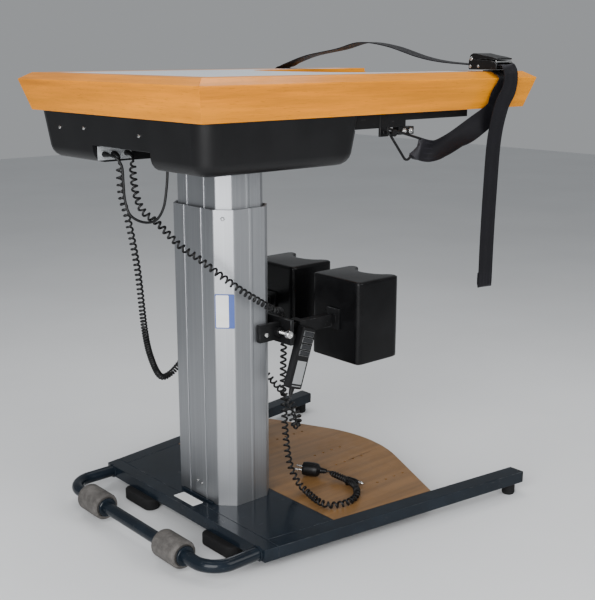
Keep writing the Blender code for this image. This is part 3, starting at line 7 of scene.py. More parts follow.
import bmesh
import bpy
from bpy.props import FloatProperty, FloatVectorProperty, IntProperty, PointerProperty
from bpy.types import Operator, Panel, PropertyGroup
from mathutils import Matrix, Vector


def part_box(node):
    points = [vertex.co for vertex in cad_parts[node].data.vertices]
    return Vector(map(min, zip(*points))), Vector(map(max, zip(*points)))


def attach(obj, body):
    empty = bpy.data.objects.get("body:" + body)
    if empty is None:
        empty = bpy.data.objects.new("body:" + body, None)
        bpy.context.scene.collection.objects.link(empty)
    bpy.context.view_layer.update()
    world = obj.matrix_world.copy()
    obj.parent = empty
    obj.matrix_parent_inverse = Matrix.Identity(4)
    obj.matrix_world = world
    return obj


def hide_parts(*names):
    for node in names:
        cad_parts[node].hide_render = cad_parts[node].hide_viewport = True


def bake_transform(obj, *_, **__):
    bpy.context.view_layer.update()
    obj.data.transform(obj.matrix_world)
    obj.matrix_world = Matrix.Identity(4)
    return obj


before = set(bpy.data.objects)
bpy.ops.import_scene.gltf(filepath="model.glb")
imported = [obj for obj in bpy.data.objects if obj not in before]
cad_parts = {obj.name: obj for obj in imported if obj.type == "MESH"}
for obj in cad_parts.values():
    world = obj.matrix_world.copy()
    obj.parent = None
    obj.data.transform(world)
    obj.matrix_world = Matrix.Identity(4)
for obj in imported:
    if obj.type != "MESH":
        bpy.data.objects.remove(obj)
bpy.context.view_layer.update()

bl_info = {
    "name": "Standing Table",
    "version": (1, 0, 0),
    "blender": (4, 5, 0),
    "location": "View3D > Sidebar > Standing Table",
    "description": "Dresses the packed model of a height-adjustable standing table",
    "category": "Object",
}


MM = 0.001


def middle_of(node):
    low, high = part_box(node)
    return (low + high) / 2


def at(u, y, z):
    """A place in the frame, with X given from the column's middle."""
    return Vector((COLUMN_X + u, y, z))


def legs(*parts):
    """Places of a route in millimetres, part by part, each with the level that its heights count from."""
    return [at(u * MM, y * MM, level + rise * MM) for level, spots in parts for u, y, rise in spots]


# Places and sizes that several pieces share; most are taken from the frame
COLUMN_X = middle_of("column_outer").x
TABLE_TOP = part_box("table_panel")[1].z
RIM_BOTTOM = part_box("rim_front")[0].z
HALF_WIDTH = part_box("rim_left")[1].y
PLATE_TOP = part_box("base_plate")[1].z
KNEE_Z = middle_of("knee_cheek_left").z
HOUSING_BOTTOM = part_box("housing")[0].z
SOCKET_Z = HOUSING_BOTTOM + 0.016
SOCKET_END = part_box("socket_panel")[0].y - 0.0003
DRAFT = 0.010
RIM_WIDEST = TABLE_TOP - 0.0125
RING_Y = 0.278
RING_WIRE = 0.0025
STRAP_WIDTH = 0.043
STRAP_LANDING = 0.024
STRAP_START = Vector((0.2630, RIM_BOTTOM - 0.0693))
HANDLE_U = -0.226
HANDLE_RADIUS = 0.0125
ROLLER_Y = 0.137
SIDES = {"left": 1, "right": -1}
HANDSET_TURN = Matrix.Rotation(math.radians(18.8), 4, "Y")
HANDSET_LEAN = Matrix.Translation(at(0.0912, -0.1335, KNEE_Z - 0.0545)) @ HANDSET_TURN


# Settings that a user would change

def length(name, description, value):
    return FloatProperty(name=name, description=description, default=value, unit="LENGTH")


def colour(name, description, value):
    return FloatVectorProperty(name=name, description=description, default=value, subtype="COLOR",
                               min=0, max=1)


class TableSizes(PropertyGroup):
    """Edges, curls and other small sizes of the dressed table."""
    wood_edge: length("Wood edge", "Rounding of the rim's long edges", 0.0016)
    joint_edge: length("Joint edge", "Rounding at the rim's mitred joints", 0.0004)
    tube_edge: length("Tube edge", "Corner rounding of the base's steel tubes", 0.0030)
    plate_edge: length("Plate edge", "Rounding of flat steel parts", 0.0010)
    profile_edge: length("Profile edge", "Corner rounding of the column's profiles", 0.0022)
    curl_pitch: length("Curl pitch", "Length of cord route for one curl", 0.0125)
    slack_pitch: length("Slack pitch", "Length of cord route for one slack curl", 0.0058)
    curl_radius: length("Curl radius", "From a curl's middle to the wire's middle", 0.0053)
    wire_radius: length("Wire radius", "Half the thickness of the curled wire", 0.0022)
    link_radius: length("Link radius", "Half the thickness of the link cable", 0.0025)
    strap_thickness: length("Strap thickness", "Thickness of the webbing", 0.0018)
    pad_swell: length("Pad swell", "How far the pads' skin swells", 0.0042)
    pad_edge: length("Pad edge", "Rounding of the pads' edges", 0.0115)
    round_sides: IntProperty(name="Round sides", description="Sides of turned pieces", default=48)


class TableColours(PropertyGroup):
    """Colours of the table's finishes."""
    beech: colour("Beech", "Lacquered wood of the rim", (0.66, 0.215, 0.0))
    laminate: colour("Laminate", "Top of the table", (0.52, 0.56, 0.60))
    board: colour("Foot board", "Lacquered plywood of the foot board", (0.190, 0.098, 0.034))
    base_paint: colour("Base paint", "Paint of the base frame", (0.0075, 0.0115, 0.0170))
    black_paint: colour("Black paint", "Paint of the brackets and fittings", (0.0060, 0.0060, 0.0065))
    aluminium: colour("Aluminium", "Anodised column profiles", (0.345, 0.355, 0.372))
    bright_steel: colour("Bright steel", "Plated screws and pins", (0.66, 0.66, 0.65))
    dark_steel: colour("Dark steel", "Drive parts inside the column", (0.26, 0.26, 0.27))
    rubber: colour("Rubber", "Feet and end caps", (0.0080, 0.0080, 0.0085))
    roller: colour("Roller", "Worn rubber of the rollers", (0.078, 0.073, 0.069))
    housing: colour("Housing plastic", "Moulded black plastic", (0.0050, 0.0050, 0.0055))
    grey_plastic: colour("Grey plastic", "Sockets, plates and control box", (0.26, 0.27, 0.28))
    pad: colour("Pad skin", "Skin of the knee pads", (0.0042, 0.0042, 0.0046))
    webbing: colour("Webbing", "Woven hip strap", (0.0058, 0.0055, 0.0075))
    sheath: colour("Cord sheath", "Outer skin of the cords", (0.0045, 0.0045, 0.0050))
    button: colour("Buttons", "Buttons of the hand control", (0.020, 0.021, 0.023))
    plate: colour("Blank plate", "Blank label plates", (0.70, 0.71, 0.72))
    label_tint: colour("Label tint", "Tinted film under the column's label", (0.035, 0.075, 0.30))


class StudioSettings(PropertyGroup):
    """Floor and light."""
    floor: colour("Floor", "Plain floor", (0.74, 0.75, 0.76))
    sky: FloatProperty(name="Sky strength", description="Strength of the even light", default=0.36)
    key: FloatProperty(name="Key power", description="Power of the main soft light", default=70.0)
    fill: FloatProperty(name="Fill power", description="Power of the second soft light", default=24.0)
    over: FloatProperty(name="Top power", description="Power of the light overhead", default=30.0)


# Modelling as by hand

def deselect():
    if bpy.context.mode != "OBJECT":
        bpy.ops.object.mode_set(mode="OBJECT")
    bpy.ops.object.select_all(action="DESELECT")


def choose(item):
    deselect()
    bpy.context.view_layer.objects.active = item
    item.select_set(True)


@contextmanager
def editing(item):
    """Edit mode on one piece, with all of it selected at first."""
    choose(item)
    bpy.ops.object.mode_set(mode="EDIT")
    bpy.ops.mesh.select_all(action="SELECT")
    yield
    bpy.ops.object.mode_set(mode="OBJECT")


def pick(kind, test):
    """Selects the faces or edges in edit mode that pass a test."""
    bpy.ops.mesh.select_mode(type=kind)
    bpy.ops.mesh.select_all(action="DESELECT")
    mesh = bmesh.from_edit_mesh(bpy.context.edit_object.data)
    for part in {"FACE": mesh.faces, "EDGE": mesh.edges}[kind]:
        if test(part):
            part.select_set(True)
    bmesh.update_edit_mesh(bpy.context.edit_object.data)


def edge_way(edge):
    return (edge.verts[0].co - edge.verts[1].co).normalized()


def tidy_faces():
    """Merges doubles and turns all faces outwards, in edit mode. It leaves all selected."""
    bpy.ops.mesh.select_mode(type="VERT")
    bpy.ops.mesh.select_all(action="SELECT")
    bpy.ops.mesh.remove_doubles(threshold=0.000005)
    bpy.ops.mesh.normals_make_consistent(inside=False)


def added(name):
    """The piece that an operator has just made, named."""
    item = bpy.context.object
    item.name = name
    item.data.name = name
    return item


def copied(name, node):
    """A copy of a CAD node's mesh, merged and with its flat faces made whole."""
    deselect()
    item = bpy.data.objects.new(name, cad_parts[node].data.copy())
    bpy.context.scene.collection.objects.link(item)
    item.data.materials.clear()
    choose(item)
    bpy.ops.mesh.customdata_custom_splitnormals_clear()
    with editing(item):
        tidy_faces()
        bpy.ops.mesh.dissolve_limited(angle_limit=math.radians(0.6))
    return item


def extruded(name, outline, push):
    """A filled ring moved onto an outline of points and extruded by a vector."""
    deselect()
    bpy.ops.mesh.primitive_circle_add(vertices=len(outline), radius=0.1, fill_type="NGON")
    item = added(name)
    for vert, spot in zip(item.data.vertices, outline):
        vert.co = spot
    with editing(item):
        bpy.ops.mesh.extrude_region_move(TRANSFORM_OT_translate={"value": push})
        tidy_faces()
    return item


def cuboid(name, low, high):
    """A block between two corners given as (u, y, z)."""
    deselect()
    low, high = at(*low), at(*high)
    bpy.ops.mesh.primitive_cube_add(size=1, location=(low + high) / 2)
    item = added(name)
    item.scale = [abs(side) for side in high - low]
    bpy.ops.object.transform_apply(location=True, rotation=True, scale=True)
    return item


def tube(name, path, radius, sides=16, radii=None, closed=False):
    """A round tube along a path of points, made as a bevelled curve and turned into a mesh."""
    deselect()
    bpy.ops.curve.primitive_nurbs_path_add()
    item = added(name)
    curve = item.data
    curve.splines.clear()
    curve.dimensions = "3D"
    curve.bevel_depth = radius
    curve.bevel_resolution = max(0, sides // 4 - 1)
    curve.use_fill_caps = True
    curve.twist_mode = "MINIMUM"
    line = curve.splines.new("POLY")
    line.points.add(len(path) - 1)
    line.use_cyclic_u = closed
    for index, point in enumerate(path):
        line.points[index].co = (*point, 1)
        line.points[index].radius = radii[index] / radius if radii else 1
    bpy.ops.object.convert(target="MESH")
    item = bpy.context.object
    with editing(item):
        tidy_faces()
    return item


def lathe(name, profile, place, axis, sides=24):
    """A turned piece: a profile of (radius, reach) in millimetres, spun about an axis through a place."""
    deselect()
    turn = Vector((0, 0, 1)).rotation_difference(Vector(axis)).to_matrix().to_4x4()
    bpy.ops.mesh.primitive_circle_add(vertices=len(profile), radius=0.1, fill_type="NOTHING")
    item = added(name)
    for vert, (radius, reach) in zip(item.data.vertices, profile):
        vert.co = (radius * MM, 0, reach * MM)
    with editing(item):
        last = len(profile) - 1
        pick("EDGE", lambda edge: {vert.index for vert in edge.verts} == {0, last})
        bpy.ops.mesh.delete(type="EDGE_FACE")
        bpy.ops.mesh.select_all(action="SELECT")
        bpy.ops.mesh.spin(steps=sides, angle=2 * math.pi, center=(0, 0, 0), axis=(0, 0, 1))
        tidy_faces()
    item.data.transform(Matrix.Translation(place) @ turn)
    return item


def applied(item, kind, **settings):
    """Adds a modifier with these settings and applies it."""
    choose(item)
    bpy.ops.object.modifier_add(type=kind)
    step = item.modifiers[-1]
    for name, value in settings.items():
        setattr(step, name, value)
    bpy.ops.object.modifier_apply(modifier=step.name)
    return item


def with_places(item):
    """Gives a piece two places for materials: one for its faces and one for its worn edges."""
    for name in ("faces", "edges")[len(item.data.materials):]:
        item.data.materials.append(bpy.data.materials.get(name) or bpy.data.materials.new(name))
    return item


def softened(item, width, segments=2, angle=40):
    """Rounds the sharp edges with a bevel; the rounding takes the place for worn edges."""
    return applied(with_places(item), "BEVEL", width=width, segments=segments, limit_method="ANGLE",
                   angle_limit=math.radians(angle), miter_outer="MITER_ARC", material=1)


def thickened(item, thickness):
    applied(item, "SOLIDIFY", thickness=thickness, offset=0)
    with editing(item):
        bpy.ops.mesh.normals_make_consistent(inside=False)
    return item


def merged(name, *items):
    """Several shaped parts of one piece, joined."""
    deselect()
    for item in items:
        item.select_set(True)
    bpy.context.view_layer.objects.active = items[0]
    bpy.ops.object.join()
    return added(name)


def dressed(item, body, finish, *nodes):
    """Gives a piece its materials, puts it on what carries it and hides the CAD nodes that it takes the place
    of.
    """
    places = item.data.materials
    if len(places) == 0:
        places.append(None)
    for index, place in enumerate(places):
        worn = place is not None and place.name == "edges"
        places[index] = finishes.get(finish + "_edge", finishes[finish]) if worn else finishes[finish]
    if body:
        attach(item, body)
    if nodes:
        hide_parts(*nodes)
    return item


def finished(item, body, finish, *nodes, angle=40, weighted=True):
    """Smooths a shaped piece up to an angle between its faces, and dresses it."""
    choose(item)
    bpy.ops.object.shade_smooth_by_angle(angle=math.radians(angle))
    if weighted:
        applied(item, "WEIGHTED_NORMAL", keep_sharp=True)
    return dressed(item, body, finish, *nodes)


def from_solid(name, node, body, finish, width, segments=2, sharp=40, angle=40):
    """A finished piece with the shape of its CAD node and rounded edges."""
    return finished(softened(copied(name, node), width, segments, sharp), body, finish, node, angle=angle)


# Routes of cords and straps

def between(a, b, c, d, t):
    """A point on the smooth curve from b to c, with a before them and d after them."""
    square = 2 * a - 5 * b + 4 * c - d
    cube = 3 * b - a - 3 * c + d
    return 0.5 * (2 * b + (c - a) * t + square * t ** 2 + cube * t ** 3)


def with_ends(points):
    """The points with one more before and after them, so that a smooth curve runs through them all."""
    return [2 * points[0] - points[1]] + points + [2 * points[-1] - points[-2]]


def smooth_route(points, spacing):
    """Evenly spaced points on a smooth curve through the route's own points."""
    route = with_ends([Vector(point) for point in points])
    dense = []
    for a, b, c, d in zip(route, route[1:], route[2:], route[3:]):
        dense += [between(a, b, c, d, step / 24) for step in range(24)]
    dense.append(route[-2])
    reach = [0.0]
    for first, second in zip(dense, dense[1:]):
        reach.append(reach[-1] + (second - first).length)
    count = max(2, round(reach[-1] / spacing) + 1)
    spaced, index = [], 0
    for step in range(count):
        target = reach[-1] * step / (count - 1)
        while index < len(reach) - 2 and reach[index + 1] < target:
            index += 1
        share = (target - reach[index]) / (reach[index + 1] - reach[index])
        spaced.append(dense[index].lerp(dense[index + 1], min(share, 1.0)))
    return spaced


def on_table(table, place):
    """A value read off rows of (place, value), straight between them."""
    for (first, low), (last, high) in zip(table, table[1:]):
        if place < last:
            return low + (high - low) * max(0.0, (place - first) / (last - first))
    return table[-1][1]


def curled(points, pitch_at, radius, lead, last_lead):
    """A helix along a route, straight for a short lead at its ends. Its pitch depends on how far a place is
    from the start and from the end."""
    spacing, ease = 0.00065, 0.018
    middle = smooth_route(points, spacing)
    count = len(middle)
    path = []
    angle = 0.0
    normal = (middle[1] - middle[0]).orthogonal()
    for index, point in enumerate(middle):
        along = (middle[min(index + 1, count - 1)] - middle[max(index - 1, 0)]).normalized()
        normal = (normal - along * normal.dot(along)).normalized()
        done, left = index * spacing, (count - 1 - index) * spacing
        grown = min(1.0, max(0.0, min(done - lead, left - last_lead) / ease))
        grown = grown * grown * (3 - 2 * grown)
        away = normal * math.cos(angle) + along.cross(normal) * math.sin(angle)
        path.append(point + radius * grown * away)
        angle += 2 * math.pi * spacing / pitch_at(done, left)
    return path


def length_of(path):
    return sum((second - first).length for first, second in zip(path, path[1:]))


def ribbon(name, frames, width, sewn):
    """A strap through frames of (point, width direction, curl), as a sheet with its own UV map. The curl is
    half the angle of the arc across the strap. Attributes mark how sharply it bends, for rubbing and for a
    painted highlight on the bends, and where it is sewn."""
    steps = across_steps = 8
    unmarked_bend, bend_range = 12, 40
    points = with_ends([point for point, way, curl in frames])
    middle = []
    for index in range(len(frames) - 1):
        (_, way, curl), (_, next_way, next_curl) = frames[index:index + 2]
        for t in (step / steps for step in range(steps)):
            middle.append((between(*points[index:index + 4], t), Vector(way).lerp(Vector(next_way), t),
                           curl + (next_curl - curl) * t))
    middle.append((frames[-1][0], Vector(frames[-1][1]), frames[-1][2]))
    rows = len(middle)
    deselect()
    bpy.ops.mesh.primitive_grid_add(x_subdivisions=across_steps, y_subdivisions=rows - 1, size=1)
    item = added(name)
    reach = 0.0
    spots = []
    for index, (point, way, curl) in enumerate(middle):
        ahead = middle[min(index + 1, rows - 1)][0]
        behind = middle[max(index - 1, 0)][0]
        along = (ahead - behind).normalized()
        way = (way - along * way.dot(along)).normalized()
        out = along.cross(way)
        reach += (point - behind).length
        # How sharply the strap bends here: the mark for rubbing and for a painted highlight on the bends
        bend = (ahead - point).angle(point - behind, 0) / (ahead - behind).length
        worn = min(1.0, max(0.0, (bend - unmarked_bend) / bend_range))
        for step in range(across_steps + 1):
            share = step / across_steps - 0.5
            spot = point + way * share * width
            if abs(curl) > 0.01:
                radius = width / (2 * curl)
                turn = 2 * curl * share
                spot = point + way * radius * math.sin(turn) + out * radius * (1 - math.cos(turn))
            spots.append((spot, (share * width, reach), worn))
    marks = {mark: item.data.attributes.new(mark, "FLOAT", "POINT") for mark in ("worn", "sewn")}
    for vert, (spot, (_, place), worn) in zip(item.data.vertices, spots):
        vert.co = spot
        marks["worn"].data[vert.index].value = worn
        inside = any(low * reach < place < high * reach for low, high in sewn)
        marks["sewn"].data[vert.index].value = 1.0 if inside else 0.0
    layer = item.data.uv_layers.active.data
    for corner in item.data.loops:
        layer[corner.index].uv = spots[corner.vertex_index][1]
    return item, reach


# Finishes

class Value:
    """A socket in a material, so that shader maths reads as Python."""

    def __init__(self, finish, socket):
        self.finish = finish
        self.socket = socket

    def maths(self, operation, first, second):
        return self.finish.node("ShaderNodeMath", {"operation": operation}, {0: first, 1: second})

    def __add__(self, other):
        return self.maths("ADD", self, other)

    def __sub__(self, other):
        return self.maths("SUBTRACT", self, other)

    def __rsub__(self, other):
        return self.maths("SUBTRACT", other, self)

    def __mul__(self, other):
        return self.maths("MULTIPLY", self, other)

    __radd__ = __add__
    __rmul__ = __mul__


class Finish:
    """One material: its shader's constants are set first, and what varies is added by nodes."""

    def __init__(self, name, constants):
        self.material = bpy.data.materials.new(name)
        self.material.use_nodes = True
        self.tree = self.material.node_tree
        self.shader = next(node for node in self.tree.nodes if node.type == "BSDF_PRINCIPLED")
        for socket, value in constants.items():
            self.shader.inputs[socket].default_value = value
        self.place = self.node("ShaderNodeTexCoord", output="Object")

    def node(self, kind, settings=None, sockets=None, output=0):
        made = self.tree.nodes.new(kind)
        for name, value in (settings or {}).items():
            setattr(made, name, value)
        for name, value in (sockets or {}).items():
            if isinstance(value, Value):
                self.tree.links.new(value.socket, made.inputs[name])
            else:
                made.inputs[name].default_value = value
        return Value(self, made.outputs[output])

    def noise(self, scale, detail=3.0, rough=0.55, place=None):
        return self.node("ShaderNodeTexNoise", None, {"Vector": place or self.place, "Scale": scale,
                                                      "Detail": detail, "Roughness": rough})

    def streaks(self, scale, detail, rough, turn=(0, 0, 0)):
        """Noise with its own scale along each axis."""
        place = self.node("ShaderNodeMapping", None, {"Vector": self.place, "Rotation": turn, "Scale": scale})
        return self.noise(1.0, detail, rough, place)

    def cells(self, scale):
        return self.node("ShaderNodeTexVoronoi", {"feature": "F1"}, {"Vector": self.place, "Scale": scale},
                         "Distance")

    def wave(self, value):
        return self.node("ShaderNodeMath", {"operation": "SINE"}, {0: value})

    def fold(self, value, size):
        return self.node("ShaderNodeMath", {"operation": "PINGPONG"}, {0: value, 1: size})

    def ease(self, value, low, high):
        """0 below low, 1 above high and smooth between."""
        return self.node("ShaderNodeMapRange", {"interpolation_type": "SMOOTHSTEP"},
                         {"Value": value, "From Min": low, "From Max": high})

    def mix(self, share, first, second):
        return self.node("ShaderNodeMix", {"data_type": "RGBA"}, {0: share, 6: first, 7: second}, 2)

    def toned(self, value, low, high, shade, dark, light):
        """A colour between two tones of a shade, as a value goes from low to high."""
        return self.mix(self.ease(value, low, high), tone(shade, dark), tone(shade, light))

    def axis(self, place, name):
        return self.node("ShaderNodeSeparateXYZ", None, {0: place}, name)

    def mark(self, name):
        return self.node("ShaderNodeAttribute", {"attribute_name": name}, output="Fac")

    def bump(self, height, strength, distance):
        return self.node("ShaderNodeBump", None,
                         {"Height": height, "Strength": strength, "Distance": distance}, "Normal")

    def varies(self, **sockets):
        for name, value in sockets.items():
            self.tree.links.new(value.socket, self.shader.inputs[name.replace("_", " ").title()])
        return self.material


def tone(shade, *times):
    """A colour times one number, or times one for each channel, with its alpha."""
    return (*(min(1.0, part * share) for part, share in zip(shade, times * 3)), 1.0)


def wood_finish(name, shade, along):
    """Lacquered beech with its grain along X or Y: long streaks, short dark flecks and soft handling wear."""
    f = Finish(name, {"Coat Roughness": 0.16, "Specular IOR Level": 0.22})

    def grain(lengthwise, across, detail, rough):
        scale = (lengthwise, across, across) if along == "X" else (across, lengthwise, across)
        return f.streaks(scale, detail, rough)

    streaks = grain(3.2, 62, 6.0, 0.62)
    bands = grain(0.9, 11, 2.0, 0.5)
    flecks = f.ease(grain(46, 620, 2.0, 0.6), 0.60, 0.70)
    worn = f.ease(f.noise(9.0, 4.0, 0.7), 0.52, 0.75)
    base = f.toned(streaks, 0.25, 0.78, shade, 0.72, 1.22)
    base = f.mix(f.ease(bands, 0.35, 0.70) * 0.45, base, tone(shade, 1.1, 1.3, 1.7))
    base = f.mix(flecks * 0.38, base, tone(shade, 0.42))
    return f.varies(base_color=base, roughness=0.30 + 0.14 * worn + 0.06 * streaks,
                    coat_weight=0.12 - 0.10 * worn, normal=f.bump(streaks * 0.5 + flecks * 0.5, 0.16, 0.0004))


def board_finish(name, shade):
    """Lacquered face of plywood: flowing grain, pores and walked-on patches."""
    f = Finish(name, {"Coat Roughness": 0.25, "Specular IOR Level": 0.4})
    warp = f.noise(2.2, 2.0)
    flow = f.streaks((2.6, 40, 40), 5.0, 0.6)
    rings = f.streaks((1.1, 9, 9), 3.0, 0.55)
    pores = f.ease(f.streaks((60, 700, 700), 2.0, 0.6), 0.58, 0.68)
    worn = f.ease(f.noise(7.0, 5.0, 0.7), 0.45, 0.72)
    base = f.toned(flow * 0.7 + rings * 0.3 + warp * 0.1, 0.34, 0.72, shade, 0.66, 1.25)
    base = f.mix(pores * 0.35, base, tone(shade, 0.45))
    base = f.mix(worn * 0.30, base, tone(shade, 1.045, 1.155, 1.54))
    return f.varies(base_color=base, roughness=0.36 + 0.20 * worn, coat_weight=0.30 - 0.20 * worn,
                    normal=f.bump(flow + pores * 0.4, 0.15, 0.0004))


def ply_finish(name, shade):
    """Cut edge of plywood: light and dark plies in stripes, with open end grain."""
    f = Finish(name, {"Specular IOR Level": 0.3})
    plies = f.wave(f.axis(f.place, "Z") * 2100.0)
    fibres = f.streaks((300, 300, 60), 3.0, 0.6)
    base = f.toned(plies + fibres * 0.5, -0.1, 0.6, shade, 0.55, 1.25)
    return f.varies(base_color=base, roughness=0.55 + 0.15 * fibres, normal=f.bump(fibres, 0.2, 0.0004))


def laminate_finish(name, shade):
    """Matt pressed laminate with a fine mottle, a pearl-like texture and faint wipe marks."""
    f = Finish(name, {"IOR": 1.48})
    mottle = f.noise(260.0, 2.0)
    wiped = f.ease(f.streaks((3, 30, 30), 4.0, 0.6, (0, 0, 0.5)), 0.45, 0.75)
    base = f.toned(mottle, 0.35, 0.65, shade, 0.94, 1.04)
    base = f.mix(f.ease(f.noise(5.0), 0.4, 0.7) * 0.25, base, tone(shade, 0.90))
    return f.varies(base_color=base, roughness=0.34 + 0.12 * wiped + 0.05 * mottle,
                    normal=f.bump(f.noise(900.0, 1.0), 0.10, 0.0002))


def aluminium_finish(name, shade):
    """Matt anodised extrusion: fine draw lines up its length, with scuffs and a few rubbed marks."""
    f = Finish(name, {"Metallic": 1.0})
    lines = f.streaks((420, 420, 1.3), 3.0, 0.7)
    broad = f.streaks((30, 30, 0.8), 2.0, 0.5)
    scuffs = f.ease(f.streaks((160, 160, 26), 3.0, 0.6), 0.66, 0.74)
    base = f.toned(lines, 0.3, 0.7, shade, 0.93, 1.05)
    base = f.mix(scuffs * 0.25, base, tone(shade, 0.70))
    return f.varies(base_color=base, roughness=0.36 + 0.10 * lines + 0.08 * broad - 0.10 * scuffs,
                    normal=f.bump(lines, 0.08, 0.0002))


def paint_finish(name, shade, gloss, wear, edge=0.0):
    """Baked paint with a slight orange peel, dust and small scratches, rubbed through on edges."""
    f = Finish(name, {"Specular IOR Level": 0.15, "Coat Roughness": 0.08})
    dust = f.noise(16.0, 4.0, 0.65)
    scratch = f.ease(f.streaks((38, 300, 300), 3.0, 0.6, (0, 0, 0.35)), 0.68, 0.73)
    rubbed = f.ease(f.noise(26.0, 5.0, 0.7), 0.64 - 0.16 * edge, 0.74 - 0.06 * edge) * wear
    base = f.toned(dust, 0.35, 0.75, shade, 0.88, 1.35)
    base = f.mix(rubbed * 0.5 + scratch * wear * 0.5, base, (0.16, 0.165, 0.17, 1))
    return f.varies(base_color=base, roughness=gloss + 0.16 * dust + 0.12 * rubbed,
                    coat_weight=0.10 - 0.08 * dust, normal=f.bump(f.noise(520.0, 2.0), 0.07, 0.0003))


def plated_finish(name, shade, rough):
    """Plated steel with fine circular scratches and dulled patches."""
    f = Finish(name, {"Metallic": 1.0})
    fine = f.noise(700.0, 3.0, 0.7)
    patch = f.noise(90.0)
    return f.varies(base_color=f.toned(patch, 0.35, 0.7, shade, 0.82, 1.06),
                    roughness=rough + 0.14 * patch + 0.06 * fine, normal=f.bump(fine, 0.05, 0.0001))


def moulded_finish(name, shade, grain, rough):
    """Moulded plastic with a fine spark-eroded grain, faint flow and rubbed, shinier high spots."""
    f = Finish(name, {"Specular IOR Level": 0.21})
    skin = f.cells(grain)
    flow = f.noise(14.0, 4.0, 0.6)
    return f.varies(base_color=f.toned(flow, 0.35, 0.7, shade, 0.90, 1.30),
                    roughness=rough + 0.12 * flow - 0.05 * skin, normal=f.bump(skin, 0.14, 0.0004))


def rubber_finish(name, shade, worn):
    """Rubber: dull, dusty, with a chalky bloom where it is worn."""
    f = Finish(name, {"Specular IOR Level": 0.25})
    bloom = f.noise(38.0, 6.0, 0.72)
    pits = f.noise(420.0, 3.0, 0.6)
    base = f.toned(bloom, 0.30, 0.74, shade, 0.72, 1.0 + 0.75 * worn)
    base = f.mix(f.ease(pits, 0.56, 0.72) * 0.35 * worn, base, tone(shade, 0.45))
    return f.varies(base_color=base, roughness=0.72 + 0.20 * bloom,
                    normal=f.bump(pits * 0.6 + bloom, 0.20 + 0.25 * worn, 0.0007))


def pad_finish(name, shade):
    """Self-skinned foam: satin black with a fine pebble grain and paler rubbed areas."""
    f = Finish(name, {"Specular IOR Level": 0.15})
    pebble = f.cells(760.0)
    rubbed = f.noise(11.0, 4.0, 0.6)
    return f.varies(base_color=f.toned(rubbed, 0.38, 0.72, shade, 0.85, 1.55),
                    roughness=0.20 + 0.12 * rubbed - 0.04 * pebble, normal=f.bump(pebble, 0.16, 0.0005))


def webbing_finish(name, shade):
    """Woven strap on its own UV map: ribs of warp yarns crossed by the weft, stitches where it is sewn, and
    yarns shinier from rubbing where it bends over an edge, with a painted highlight that makes them paler."""
    f = Finish(name, {"Specular IOR Level": 0.16, "Sheen Weight": 0.02, "Sheen Roughness": 0.35})
    place = f.node("ShaderNodeTexCoord", output="UV")
    across, along = f.axis(place, "X"), f.axis(place, "Y")
    worn = f.mark("worn")
    yarn = f.wave((along + f.fold(across + 0.1, 0.0108)) * 2900.0)
    weave = yarn * 0.6 + f.wave(across * 4400.0) * 0.4
    row, dash = f.fold(across + 0.1, 0.0050), f.wave(along * 1900.0)
    stitch = f.ease(row, 0.0043, 0.0048) * f.ease(dash, -0.5, 0.0) * f.mark("sewn")
    rubbed = f.ease(f.noise(30.0, 5.0, 0.65), 0.45, 0.75)
    base = f.toned(weave, -0.7, 0.8, shade, 0.55, 1.4)
    base = f.mix(rubbed * 0.25, base, tone(shade, 1.98, 1.8, 2.07))
    # Painted highlight: paler yarn where the strap bends over an edge
    base = f.mix(worn * (0.5 + 0.5 * rubbed) * 0.55, base, (0.075, 0.075, 0.085, 1))
    base = f.mix(stitch, base, tone(shade, 4.5))
    return f.varies(base_color=base, roughness=0.50 + 0.14 * rubbed - 0.16 * worn,
                    normal=f.bump(weave + stitch * 1.5, 0.35, 0.0004))


def sheath_finish(name, shade):
    """Cord sheath: smooth soft plastic with faint dust."""
    f = Finish(name, {"Specular IOR Level": 0.3})
    dust = f.noise(60.0, 4.0, 0.6)
    return f.varies(base_color=f.toned(dust, 0.40, 0.75, shade, 0.9, 1.6), roughness=0.34 + 0.22 * dust,
                    normal=f.bump(f.noise(900.0, 2.0), 0.06, 0.0002))


def plate_finish(name, shade):
    """Blank printed film: pale and satin, a little yellowed and rubbed."""
    f = Finish(name, {"IOR": 1.5})
    aged = f.noise(40.0, 4.0, 0.6)
    base = f.mix(f.ease(aged, 0.35, 0.7), tone(shade, 1.0), tone(shade, 0.94, 0.9259, 0.8836))
    return f.varies(base_color=base, roughness=0.32 + 0.16 * aged,
                    normal=f.bump(f.noise(500.0, 2.0), 0.05, 0.0002))


finishes = {}


